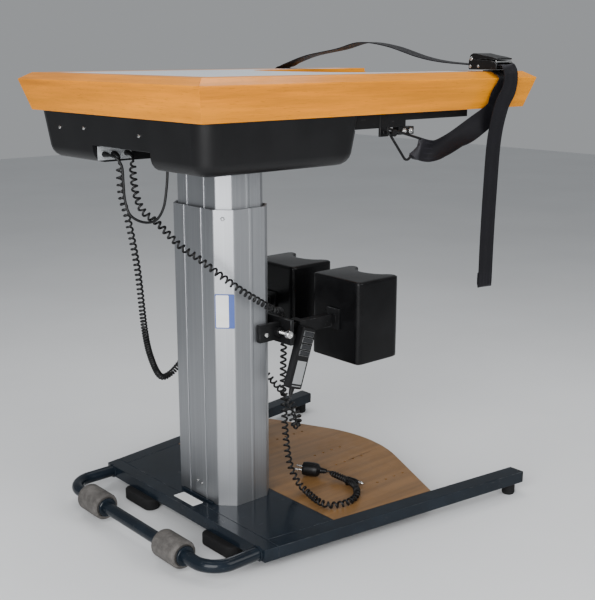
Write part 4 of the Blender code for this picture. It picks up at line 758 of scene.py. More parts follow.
def make_finishes(colours):
    """All the finishes of the table, by name. The worn edges of a piece have their own."""
    beech_edge = [part * 1.12 for part in colours.beech]
    housing_edge = [part * 2.2 for part in colours.housing]
    finishes.update({
        "wood_x": wood_finish("beech_lengthwise", colours.beech, "X"),
        "wood_y": wood_finish("beech_crosswise", colours.beech, "Y"),
        "wood_x_edge": wood_finish("beech_lengthwise_edge", beech_edge, "X"),
        "wood_y_edge": wood_finish("beech_crosswise_edge", beech_edge, "Y"),
        "board": board_finish("foot_board_plywood", colours.board),
        "board_edge": ply_finish("foot_board_plies", colours.board),
        "laminate": laminate_finish("table_laminate", colours.laminate),
        "aluminium": aluminium_finish("column_aluminium", colours.aluminium),
        "base": paint_finish("base_paint", colours.base_paint, 0.12, 0.5),
        "base_edge": paint_finish("base_paint_edge", colours.base_paint, 0.22, 0.45, 1.0),
        "black": paint_finish("black_paint", colours.black_paint, 0.30, 0.45),
        "black_edge": paint_finish("black_paint_edge", colours.black_paint, 0.32, 0.9, 1.0),
        "bright": plated_finish("bright_plating", colours.bright_steel, 0.16),
        "dark": plated_finish("drive_steel", colours.dark_steel, 0.30),
        "rubber": rubber_finish("foot_rubber", colours.rubber, 0.5),
        "roller": rubber_finish("roller_rubber", colours.roller, 1.0),
        "housing": moulded_finish("housing_plastic", colours.housing, 900.0, 0.34),
        "housing_edge": moulded_finish("housing_plastic_edge", housing_edge, 900.0, 0.24),
        "grey": moulded_finish("grey_plastic", colours.grey_plastic, 1300.0, 0.42),
        "pad": pad_finish("pad_skin", colours.pad),
        "webbing": webbing_finish("strap_webbing", colours.webbing),
        "sheath": sheath_finish("cord_sheath", colours.sheath),
        "plate": plate_finish("blank_plate", colours.plate),
        "label_tint": plate_finish("tinted_film", colours.label_tint),
        "label_grey": plate_finish("blank_grey_plate", colours.grey_plastic),
        "button": moulded_finish("button_plastic", colours.button, 1500.0, 0.24),
    })


# Operators

class STANDING_OT_studio(Operator):
    """Set up the floor, the soft lights and the camera"""
    bl_idname = "standing.studio"
    bl_label = "Studio"

    def execute(self, context):
        studio = context.scene.standing_studio
        looks_down, heading, focal = 13.7278, 48.8144, 1022.66 / 600
        deselect()
        bpy.ops.object.camera_add(location=at(-1.2003, -1.6031, 0.9416),
                                  rotation=(math.radians(90 - looks_down), 0, math.radians(heading - 90)))
        camera = context.object
        camera.name = "photo_camera"
        camera.data.sensor_width = 36
        camera.data.lens = 36 * focal
        context.scene.camera = camera

        bpy.ops.mesh.primitive_plane_add(size=1)
        floor = added("studio_floor")
        with editing(floor):
            bpy.ops.transform.resize(value=(14, 14, 1))
            bpy.ops.mesh.subdivide(number_cuts=2)
        f = Finish("studio_floor", {"IOR": 1.4})
        patch = f.noise(1.4, 4.0)
        base = f.toned(patch, 0.3, 0.7, studio.floor, 0.97, 1.02)
        floor.data.materials.append(f.varies(base_color=base, roughness=0.5 + 0.1 * patch))

        lights = [("key_light", (-1.75, -1.25, 1.05), 1.5, studio.key),
                  ("fill_light", (0.75, -2.05, 1.45), 1.4, studio.fill),
                  ("top_light", (0.25, 0.25, 2.40), 1.8, studio.over)]
        for name, place, size, power in lights:
            spot = at(*place)
            aim = (at(0.1, 0, 0.5) - spot).to_track_quat("-Z", "Y").to_euler()
            bpy.ops.object.light_add(type="AREA", location=spot, rotation=aim)
            light = context.object
            light.name = name
            light.data.size = size
            light.data.energy = power
        world = bpy.data.worlds.new("studio_sky")
        world.use_nodes = True
        sky = world.node_tree.nodes["Background"]
        sky.inputs["Color"].default_value = (0.90, 0.93, 0.96, 1)
        sky.inputs["Strength"].default_value = studio.sky
        context.scene.world = world
        return {"FINISHED"}


class STANDING_OT_cords(Operator):
    """Lay the curled cords, the link cable, the plug and their strain reliefs"""
    bl_idname = "standing.cords"
    bl_label = "Cords"

    def from_socket(self, u, *parts):
        """A route that leaves its socket straight."""
        return [at(u * MM, SOCKET_END - lead, SOCKET_Z) for lead in (0, 0.008)] + legs(*parts)

    def handset_path(self, sizes):
        """Drawn out by its own weight at the top, closed up in the hanging bight, then round the column."""
        opening = [(0.03, 1.25), (0.33, 0.80), (0.425, 0.46), (0.60, 0.46), (0.68, 1.0)]
        route = self.from_socket(
            -194,
            (SOCKET_Z, [(-194, 50, -5), (-197, 44, -19), (-194, 50, -49), (-184, 62, -84), (-162, 78, -134)]),
            (KNEE_Z, [(-133, 98, 118), (-110, 117, -10), (-92, 126, -75), (-66, 132, -124), (-36, 135, -124),
                      (0, 136, -97), (30, 134, -75), (64, 124, -64), (96, 92, -75), (110, 45, -100),
                      (116, -10, -132), (118, -65, -165), (108, -110, -190), (80, -132, -196)]))
        route += [HANDSET_LEAN @ Vector((0, 0, -0.063 - 0.014 - lead)) for lead in (0.020, 0.010, 0.0003)]
        return curled(route, lambda done, left: sizes.curl_pitch * on_table(opening, done), sizes.curl_radius,
                      0.026, 0.018)

    def mains_path(self, sizes, plug_end, plug_way):
        """Drawn out where it hangs, and closing up over the last stretch, which lies slack on the board."""
        closing = [(0.085, sizes.slack_pitch), (0.145, sizes.curl_pitch)]
        route = self.from_socket(
            -166,
            (SOCKET_Z, [(-166, 48, -7), (-174, 36, -29), (-180, 20, -69), (-177, 2, -102),
                        (-160, -20, -124)]),
            (KNEE_Z, [(-132, -47, 189), (-112, -80, 166), (-86, -103, 138), (-42, -116, 101), (12, -116, 66),
                      (46, -110, 46), (74, -94, 36.5), (97, -76, 12), (96, -79, -35), (88, -86, -100),
                      (86, -90, -162)]),
            (PLATE_TOP, [(88, -96, 103), (94, -103, 50), (102, -118, 18), (100, -147, 8.5), (88, -190, 8.5),
                         (90, -222, 8.5), (120, -238, 8.5), (158, -230, 8.5), (190, -198, 9), (200, -158, 10),
                         (193, -126, 14.5)]))
        route += [plug_end - plug_way * lead for lead in (0.008, 0.0003)]
        return curled(route, lambda done, left: on_table(closing, left), sizes.curl_radius, 0.026, 0.004)

    def link_path(self):
        """One loop from its socket into the housing's underside."""
        return smooth_route(self.from_socket(
            -214,
            (SOCKET_Z, [(-214, 30, -3), (-206, 22, -19), (-204, 22, -49), (-202, 22, -82), (-198, 12, -109),
                        (-188, -14, -120), (-180, -44, -114), (-174, -62, -90), (-170, -68, -54),
                        (-168, -70, -19)]),
            (HOUSING_BOTTOM, [(-168, -70, 32.7)])), 0.004)

    def relief(self, name, line, wire):
        """A ribbed sleeve over the first centimetres of a cord, from the points at its start."""
        start = smooth_route(line, 0.0011)
        short = [point for point in start if (point - start[0]).length < 0.021][:24]
        count = len(short)
        radii = [wire + 0.0005 + (0.0052 - wire) * (1 - index / count) ** 1.3
                 - (0.0005 if index % 3 == 2 and index > 3 else 0) for index in range(count)]
        sleeve = tube(f"{name}_strain_relief", short, 0.005, 20, radii)
        return finished(sleeve, "table", "housing", angle=50, weighted=False)

    def plug(self, end, way):
        """The mains plug with its two pins."""
        profile = [(0, 0), (4.6, 0), (5, 3), (4.3, 4), (5.4, 4.5), (5.6, 7.5), (4.8, 8.5), (6.2, 9), (6.6, 12),
                   (6, 13), (9, 15.5), (13.2, 18.5), (14.6, 22.5), (15, 28), (15, 44.5), (14.3, 47.5),
                   (14.3, 50), (13.6, 51.5), (0, 52)]
        body = lathe("plug_body", profile, end, way, 40)
        across = way.cross(Vector((0, 0, 1)))
        pin = [(0, 0), (2.4, 0), (2.4, 19.5), (1.8, 20.8), (0, 21)]
        pins = [lathe("plug_pin", pin, end + way * 0.050 + across * side * 0.0095, way, 20) for side in (1, -1)]
        return [finished(body, "base", "housing", "mains_plug", angle=35),
                finished(merged("plug_pins", *pins), "base", "bright", angle=35)]

    def clip(self):
        """A small clip that holds the slack of the mains cord."""
        hold = at(0.1985, -0.166, PLATE_TOP + 0.0098)
        way = Vector((0.20, -0.97, 0)).normalized()
        side = Vector((0.97, 0.20, 0))
        wide, tall = side * 0.0092, Vector((0, 0, 0.0084))
        turns = [math.pi * step / 12 for step in range(24)]
        loop = [hold + wide * math.cos(turn) + tall * math.sin(turn) for turn in turns]
        ring = tube("clip_ring", loop, 0.0012, 8, None, True)
        start = hold + side * 0.0145 + Vector((0, 0, -0.0034))
        jaw = [(0, -14), (4.8, -14), (6, -11), (6, 6), (5, 12), (3.6, 18), (0, 18)]
        tip = [(0, 16.5), (3.4, 16.5), (3.6, 22), (3, 26.2), (1.6, 28.5), (0, 29)]
        return [finished(merged("cord_clip", lathe("clip_jaw", jaw, start, way), ring), "base", "housing"),
                finished(lathe("clip_tip", tip, start, way), "base", "bright")]

    def execute(self, context):
        sizes = context.scene.standing_sizes
        wire, link_wire = sizes.wire_radius, sizes.link_radius
        path = self.handset_path(sizes)
        behind = at(0.030, 0.134, KNEE_Z - 0.075)
        split = min(range(len(path)), key=lambda index: (path[index] - behind).length)
        upper, tail = path[:split + 1], path[split:][::-1]
        plug_way = Vector((-0.50, 0.87, 0)).normalized()
        plug_end = at(0.190, -0.108, PLATE_TOP + 0.0156)
        mains = self.mains_path(sizes, plug_end, plug_way)
        link = self.link_path()
        reliefs = [self.relief("handset", upper[:60:4], wire), self.relief("mains", mains[:60:4], wire),
                   self.relief("link", link[:8], link_wire)]
        fittings = self.plug(plug_end, plug_way) + self.clip()
        cords = [("handset_curl", upper, wire, "handset_cord", "object", reliefs[:1]),
                 ("handset_curl_tail", tail, wire, "handset_cord_tail", "object", []),
                 ("mains_curl", mains, wire, "mains_cord", "plug", reliefs[1:2] + fittings),
                 ("link_lead", link, link_wire, "link_cable", "object", reliefs[2:])]
        pieces = {}
        for name, line, radius, node, end, beside in cords:
            piece = tube(name, line, radius, 8 if radius < 0.0024 else 16)
            body = "table" if node == "link_cable" else None
            finished(piece, body, "sheath", node, angle=60, weighted=False)
            length_of(line)
            2 * radius
            pieces[name] = piece
        low, high = at(-0.12, 0.05, KNEE_Z + 0.06), at(-0.12, 0.05, SOCKET_Z - 0.010)
        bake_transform(pieces["handset_curl"])
        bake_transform(pieces["mains_curl"])
        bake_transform(pieces["handset_curl_tail"], "base", "knee_carriage",
                 start=at(0.03, 0.11, KNEE_Z), end=at(0.03, -0.125, KNEE_Z))
        return {"FINISHED"}


class STANDING_OT_rims(Operator):
    """Round and finish the wooden rim bars and the cut-out's lipping"""
    bl_idname = "standing.rims"
    bl_label = "Wooden rim"

    def execute(self, context):
        sizes = context.scene.standing_sizes
        bars = [("front_rim", "rim_front", "y"), ("left_rim", "rim_left", "x"),
                ("right_rim", "rim_right", "x"), ("left_arm_end", "rim_end_left", "y"),
                ("right_arm_end", "rim_end_right", "y")]
        for name, node, along in bars:
            item = with_places(copied(name, node))
            with editing(item):
                pick("EDGE", lambda edge: abs(getattr(edge_way(edge), along)) > 0.999)
                bpy.ops.mesh.bevel(offset=sizes.wood_edge, segments=3, affect="EDGES", material=1)
            softened(item, sizes.joint_edge, 1, 34)
            finished(item, "table", "wood_" + along, node, angle=34)
        from_solid("cutout_lipping", "rim_cutout", "table", "wood_x", 0.0012, angle=34)
        return {"FINISHED"}


class STANDING_OT_top(Operator):
    """Finish the laminated table top"""
    bl_idname = "standing.top"
    bl_label = "Table top"

    def execute(self, context):
        from_solid("laminated_top", "table_panel", "table", "laminate", 0.0004, 1, angle=34)
        return {"FINISHED"}


class STANDING_OT_column(Operator):
    """Draw the two column profiles with their grooves and rounded corners"""
    bl_idname = "standing.column"
    bl_label = "Lift column"

    def outline(self, inset, edge):
        """Half of the profile's outline, turned round to make the whole: rounded corners and grooves."""
        half_x, half_y = 0.0664 - inset, 0.093 - inset
        chamfer = 0.028 - inset * (2 - math.sqrt(2))
        groove_y, lip, depth = 0.028, 0.0006, 0.0018
        points = []

        def corner(spot, way_in, way_out):
            """Three points round a corner."""
            spot, way_in, way_out = Vector(spot), Vector(way_in).normalized(), Vector(way_out).normalized()
            points.append(tuple(spot - way_in * edge))
            points.append(tuple(spot - way_in * edge * 0.28 + way_out * edge * 0.28))
            points.append(tuple(spot + way_out * edge))

        for y in (-groove_y, groove_y):
            for down, away in ((0, -2.6), (lip, -2.0), (depth, -1.8), (depth, 1.8), (lip, 2.0), (0, 2.6)):
                points.append((half_x - down, y + away * MM))
        corner((half_x, half_y - chamfer), (0, 1), (-1, 1))
        corner((half_x - chamfer, half_y), (-1, 1), (-1, 0))
        for step in range(7):
            angle = math.pi * step / 6
            points.append((0.0042 * math.cos(angle) - 0.0025, half_y + 0.0009 * math.sin(angle)))
        corner((chamfer - half_x, half_y), (-1, 0), (-1, -1))
        corner((-half_x, half_y - chamfer), (-1, -1), (0, -1))
        return points + [(-x, -y) for x, y in points]

    def execute(self, context):
        edge = context.scene.standing_sizes.profile_edge
        stages = [("outer_stage", "column_outer", "base", 0.0, 0.0038),
                  ("inner_stage", "column_inner", "table", 0.0085, 0.0034)]
        for name, node, body, inset, wall in stages:
            low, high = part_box(node)
            spots = [at(x, y, low.z) for x, y in self.outline(inset, edge)]
            item = extruded(name, spots, (0, 0, high.z - low.z))
            with editing(item):
                pick("FACE", lambda face: abs(face.normal.z) > 0.9)
                bpy.ops.mesh.inset(thickness=wall, use_boundary=True)
                bpy.ops.mesh.bridge_edge_loops()
                tidy_faces()
            finished(item, body, "aluminium", node, angle=30)
        return {"FINISHED"}


class STANDING_OT_housing(Operator):
    """Finish the moulded housing, its boot and the socket panel"""
    bl_idname = "standing.housing"
    bl_label = "Housing"

    def execute(self, context):
        shell = softened(copied("moulded_housing", "housing"), 0.0008, 2, 50)
        low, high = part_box("housing")
        middle, half = (low + high) / 2, (high - low) / 2
        for vert in shell.data.vertices:
            rise = (vert.co.z - low.z) / (high.z - low.z)
            vert.co.x += DRAFT * rise * (vert.co.x - middle.x) / half.x
            vert.co.y += DRAFT * 1.4 * rise * (vert.co.y - middle.y) / half.y
        finished(shell, "table", "housing", "housing")
        from_solid("housing_boot", "column_boot", "table", "housing", 0.0020, 3, 30)
        from_solid("socket_plate", "socket_panel", "table", "grey", 0.0005, 2, 50)
        return {"FINISHED"}


class STANDING_OT_base(Operator):
    """Round and paint the steel of the base, with its end caps and feet"""
    bl_idname = "standing.base"
    bl_label = "Base frame"

    def execute(self, context):
        sizes = context.scene.standing_sizes
        tubes = {"left_rail": "base_rail_left", "right_rail": "base_rail_right",
                 "front_bar": "front_crossbar"}
        plates = {"middle_bar": "middle_crossbar", "rear_bar": "rear_crossbar", "floor_plate": "base_plate",
                  "column_foot": "column_flange"}
        for steel, edge in ((tubes, sizes.tube_edge), (plates, sizes.plate_edge)):
            for name, node in steel.items():
                from_solid(name, node, "base", "base", edge, 3)
        for side in SIDES:
            from_solid(f"end_cap_{side}", f"rail_cap_{side}", "base", "rubber", 0.0015)
            from_solid(f"front_pad_{side}", f"front_foot_{side}", "base", "rubber", 0.0040, 3, 50)
            node = f"rear_foot_{side}"
            low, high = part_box(node)
            tall = (high.z - low.z) / MM
            profile = [(0, 0), (11.5, 0), (12.5, 0.8), (14, 4), (14, 8), (13.1, 8.8), (13.1, 10.4),
                       (14, 11.2), (14, tall - 3), (12.5, tall), (0, tall)]
            place = Vector((*middle_of(node).xy, low.z))
            foot = lathe(f"rear_pad_{side}", profile, place, (0, 0, 1), sizes.round_sides)
            finished(foot, "base", "rubber", node)
        return {"FINISHED"}


class STANDING_OT_handle(Operator):
    """Bend the transport handle and turn its rollers"""
    bl_idname = "standing.handle"
    bl_label = "Handle and rollers"

    def execute(self, context):
        sides = context.scene.standing_sizes.round_sides
        z = PLATE_TOP - HANDLE_RADIUS
        start, half, bend = -0.1183, 0.255, 0.050
        turns = [math.pi / 2 + math.pi / 2 * step / 16 for step in range(17)]
        corner_u, corner_y = HANDLE_U + bend, half - bend
        bent = [(corner_u + bend * math.cos(turn), corner_y + bend * math.sin(turn)) for turn in turns]
        spots = [(start, half)] + bent + [(HANDLE_U, 0.10)]
        path = [at(u, y, z) for u, y in spots] + [at(u, -y, z) for u, y in reversed(spots)]
        parts = [tube("transport_tube", path, HANDLE_RADIUS, 32)]
        collar = [(12.4, 0), (18, 0), (19, 1), (19, 5), (18, 6), (12.4, 6)]
        for middle in (ROLLER_Y, -ROLLER_Y):
            for side in (1, -1):
                place = at(HANDLE_U, middle + side * 0.0357, z)
                parts.append(lathe("stop_collar", collar, place, (0, side, 0), sides))
        for side in (1, -1):
            bead = [at(start - 0.0003, side * half + 0.0135 * math.cos(turn), z + 0.0135 * math.sin(turn))
                    for turn in (math.pi * step / 14 for step in range(28))]
            thick = [0.0021 + 0.0004 * math.sin(index * 2.4) for index in range(28)]
            parts.append(tube("weld_bead", bead, 0.0021, 8, thick, True))
        finished(merged("transport_tube", *parts), "base", "base", "transport_handle")
        flank = [(13.1, 31), (20, 31), (20.6, 34.5), (21.5, 35), (24.5, 35), (26.4, 34.2), (27.4, 31.8),
                 (27.5, 29), (27.5, 15)]
        profile = [(radius, -reach) for radius, reach in flank] + [(27.65, 0)] + flank[::-1] + [(13.1, -31)]
        for name, sign in SIDES.items():
            roller = lathe(f"rubber_roller_{name}", profile, at(HANDLE_U, sign * ROLLER_Y, z), (0, 1, 0), 64)
            finished(roller, f"roller_{name}", "roller", f"roller_{name}")
        return {"FINISHED"}


class STANDING_OT_board(Operator):
    """Finish the plywood foot board"""
    bl_idname = "standing.board"
    bl_label = "Foot board"

    def execute(self, context):
        board = softened(copied("plywood_board", "foot_board"), 0.0010, 2, 50)
        for face in board.data.polygons:
            face.material_index = 0 if abs(face.normal.z) > 0.5 else 1
        finished(board, "base", "board", "foot_board")
        return {"FINISHED"}


class STANDING_OT_knees(Operator):
    """Round the knee brackets and turn their screws"""
    bl_idname = "standing.knees"
    bl_label = "Knee brackets"

    def execute(self, context):
        sides = context.scene.standing_sizes.round_sides
        boss_profile = [(4.3, 0), (9.2, 0), (9.2, 8.5), (8.4, 10), (4.3, 10)]
        bolt_profile = [(0, 0), (5.2, 0), (5.2, 2.2), (4.4, 3.4), (2, 4), (0, 4)]
        thread = [(radius, reach + rise) for reach in range(3, 29, 2)
                  for radius, rise in ((4, 0), (3.6, 0.6), (3.6, 1), (4, 1.6))]
        head = [(4, 31), (7.6, 31), (8.2, 31.8), (8.2, 37.2), (7.9, 38.6), (7, 39.6), (5.2, 40), (3.6, 40),
                (3.4, 37.6), (0, 37.6)]
        screw_profile = [(0, 0), (4, 0)] + thread + head
        from_solid("knee_bracket", "knee_plate", "knee_carriage", "black", 0.0012)
        for name, sign in SIDES.items():
            node, outwards = f"knee_cheek_{name}", (0, sign, 0)
            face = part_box(node)[1 if sign > 0 else 0].y
            cheek = softened(copied(f"clamp_cheek_{name}", node), 0.0016, 3)
            boss = lathe("screw_boss", boss_profile, at(0.0585, face, KNEE_Z), outwards, sides)
            bolt = lathe(f"cheek_bolt_{name}", bolt_profile, at(0.0300, face, KNEE_Z - 0.003), outwards, 6)
            finished(bolt, "knee_carriage", "bright", angle=35)
            finished(merged(f"clamp_cheek_{name}", cheek, boss), "knee_carriage", "black", node)
            from_solid(f"pad_arm_{name}", f"knee_arm_{name}", f"knee_arm_{name}", "black", 0.0010)
            node = f"knee_screw_{name}"
            place = middle_of(node)
            place.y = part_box(node)[0 if sign > 0 else 1].y
            screw = lathe(f"clamp_screw_{name}", screw_profile, place, outwards, sides)
            finished(screw, node, "bright", node, angle=30)
        return {"FINISHED"}


class STANDING_OT_pads(Operator):
    """Model the self-skinned foam of the knee pads, hollowed for the knees and softly swollen"""
    bl_idname = "standing.pads"
    bl_label = "Knee pads"

    def outline(self, depth, half, edge, horn, cup):
        """The pad from above, as (reach, y) places from its back: a flat back, two horns and the hollow."""
        def turned(centre, radius, first, last, count):
            x, y = centre
            angles = [first + (last - first) * step / (count - 1) for step in range(count)]
            return [(x + radius * math.cos(angle), y + radius * math.sin(angle)) for angle in angles]

        quarter = math.pi / 2
        side = turned((edge, edge - half), edge, -2 * quarter, -quarter, 6)
        tip = depth - horn
        side += [(edge + (tip - edge) * step / 6, -half) for step in range(1, 6)]
        side += turned((tip, horn - half), horn, -quarter, quarter * 0.8, 8)
        chord = half - 1.9 * horn
        radius = (chord ** 2 + cup ** 2) / (2 * cup)
        sweep = math.asin(chord / radius)
        hollow = turned((depth - cup + radius, 0), radius, 2 * quarter + sweep, 2 * quarter - sweep, 15)[1:-1]
        return side + hollow + [(reach, -y) for reach, y in reversed(side)]

    def execute(self, context):
        sizes = context.scene.standing_sizes
        grow, edge, cup = sizes.pad_swell, sizes.pad_edge, 0.040
        for name in SIDES:
            node = f"knee_pad_{name}"
            low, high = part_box(node)
            middle = (low + high) / 2
            depth, half = high.x - low.x + grow, (high.y - low.y) / 2 + grow
            tall = high.z - low.z + 2 * grow
            spots = [(low.x + reach, middle.y + y, low.z - grow)
                     for reach, y in self.outline(depth, half, edge, edge * 1.2, cup)]
            item = extruded(f"foam_pad_{name}", spots, (0, 0, tall))
            softened(item, edge, 6, 60)
            applied(item, "REMESH", mode="VOXEL", voxel_size=0.0030)
            applied(item, "SMOOTH", iterations=3)
            for vert in item.data.vertices:
                side = (vert.co.y - middle.y) / half
                rise = (vert.co.z - middle.z) / (tall / 2)
                deep = (vert.co.x - low.x) / depth * 2 - 1
                flat = max(0.0, 1 - deep ** 2)
                vert.co.y += 0.6 * grow * side ** 3 * flat * max(0.0, 1 - rise ** 2)
                vert.co.z += 0.6 * grow * rise ** 3 * flat * max(0.0, 1 - side ** 2)
            bpy.ops.object.shade_smooth()
            item.data.materials.clear()
            dressed(item, f"knee_arm_{name}", "pad", node)
        return {"FINISHED"}


class STANDING_OT_handset(Operator):
    """Finish the hand control with its buttons, painted highlights along their edges and its blank plate"""
    bl_idname = "standing.handset"
    bl_label = "Hand control"

    def execute(self, context):
        from_solid("handset_shell", "handset_body", "knee_carriage", "housing", 0.0006, 2, 45)
        for number in range(1, 5):
            button = f"button_{number}"
            from_solid(f"rocker_{number}", f"handset_{button}", button, "button", 0.0012, 3)
        # Thin light grey loops round the buttons: painted highlights that stand for the light on the buttons'
        # edges
        highlight_loops = []
        first, spacing = 50, 13.3
        for index in range(4):
            middle = first - spacing * index
            corners = ((-13, middle - 5), (13, middle - 5), (13, middle + 5), (-13, middle + 5))
            loop = [HANDSET_LEAN @ (Vector((x, -10, z)) * MM) for x, z in corners]
            highlight_loops.append(tube("painted_button_highlight", loop, 0.0004, 8, None, True))
        finished(merged("painted_button_highlights", *highlight_loops), "knee_carriage", "label_grey")
        for name, height, tall in (("handset_plate", -0.0290, 0.047), ("handset_line", -0.0570, 0.0016)):
            deselect()
            bpy.ops.mesh.primitive_cube_add(size=1)
            plate = added(name)
            with editing(plate):
                bpy.ops.transform.resize(value=(0.024, 0.0008, tall))
                bpy.ops.transform.translate(value=(0, -0.0101, height))
            plate.data.transform(HANDSET_LEAN)
            finished(softened(plate, 0.0002), "knee_carriage", "label_grey")
        return {"FINISHED"}


class STANDING_OT_rings(Operator):
    """Bend the wire rings and finish the steel under the table"""
    bl_idname = "standing.rings"
    bl_label = "Strap rings and frame"

    def loop(self):
        """The ring's three-cornered wire as (u, z) places, with eased corners."""
        drops = ((0.175, 0.025), (0.232, 0.091), (0.285, 0.054))
        corners = [Vector((u, RIM_BOTTOM - drop)) for u, drop in drops]
        ease, steps = 0.007, (1.0, 0.55, 0.2)
        spots = []
        for index, here in enumerate(corners):
            before = (corners[index - 1] - here).normalized() * ease
            after = (corners[(index + 1) % 3] - here).normalized() * ease
            spots += [here + before * share + after * (1 - share) ** 2 for share in steps]
            spots += [here + after * share + before * (1 - share) ** 2 for share in steps[::-1]]
        return spots

    def execute(self, context):
        nut = [(3, 0), (6, 0), (6, 3.6), (5.2, 4.4), (3, 4.4)]
        stud = [(0, 0), (2.9, 0), (2.9, 6.6), (2.2, 7.4), (0, 7.4)]
        from_solid("under_frame", "table_frame", "table", "black", 0.0008, 2, 45)
        for name, sign in SIDES.items():
            flank = sign * 0.2575
            block = cuboid(f"bar_block_{name}", (0.2315, sign * 0.241, RIM_BOTTOM - 0.0425),
                           (0.2740, flank, RIM_BOTTOM - 0.0275))
            finished(softened(block, 0.0012), "table", "black")
            nuts = []
            for u in (0.2440, 0.2620):
                spot, outwards = at(u, flank, RIM_BOTTOM - 0.0350), (0, sign, 0)
                nuts += [lathe("nut", nut, spot, outwards, 6), lathe("stud", stud, spot, outwards, 20)]
            finished(merged(f"block_nuts_{name}", *nuts), "table", "bright", angle=30)
        for name, sign in SIDES.items():
            path = [at(spot.x, sign * RING_Y, spot.y) for spot in self.loop()]
            ring = tube(f"wire_ring_{name}", path, RING_WIRE, 16, None, True)
            finished(ring, f"strap_ring_{name}", "black", f"strap_ring_{name}", angle=60, weighted=False)
        return {"FINISHED"}


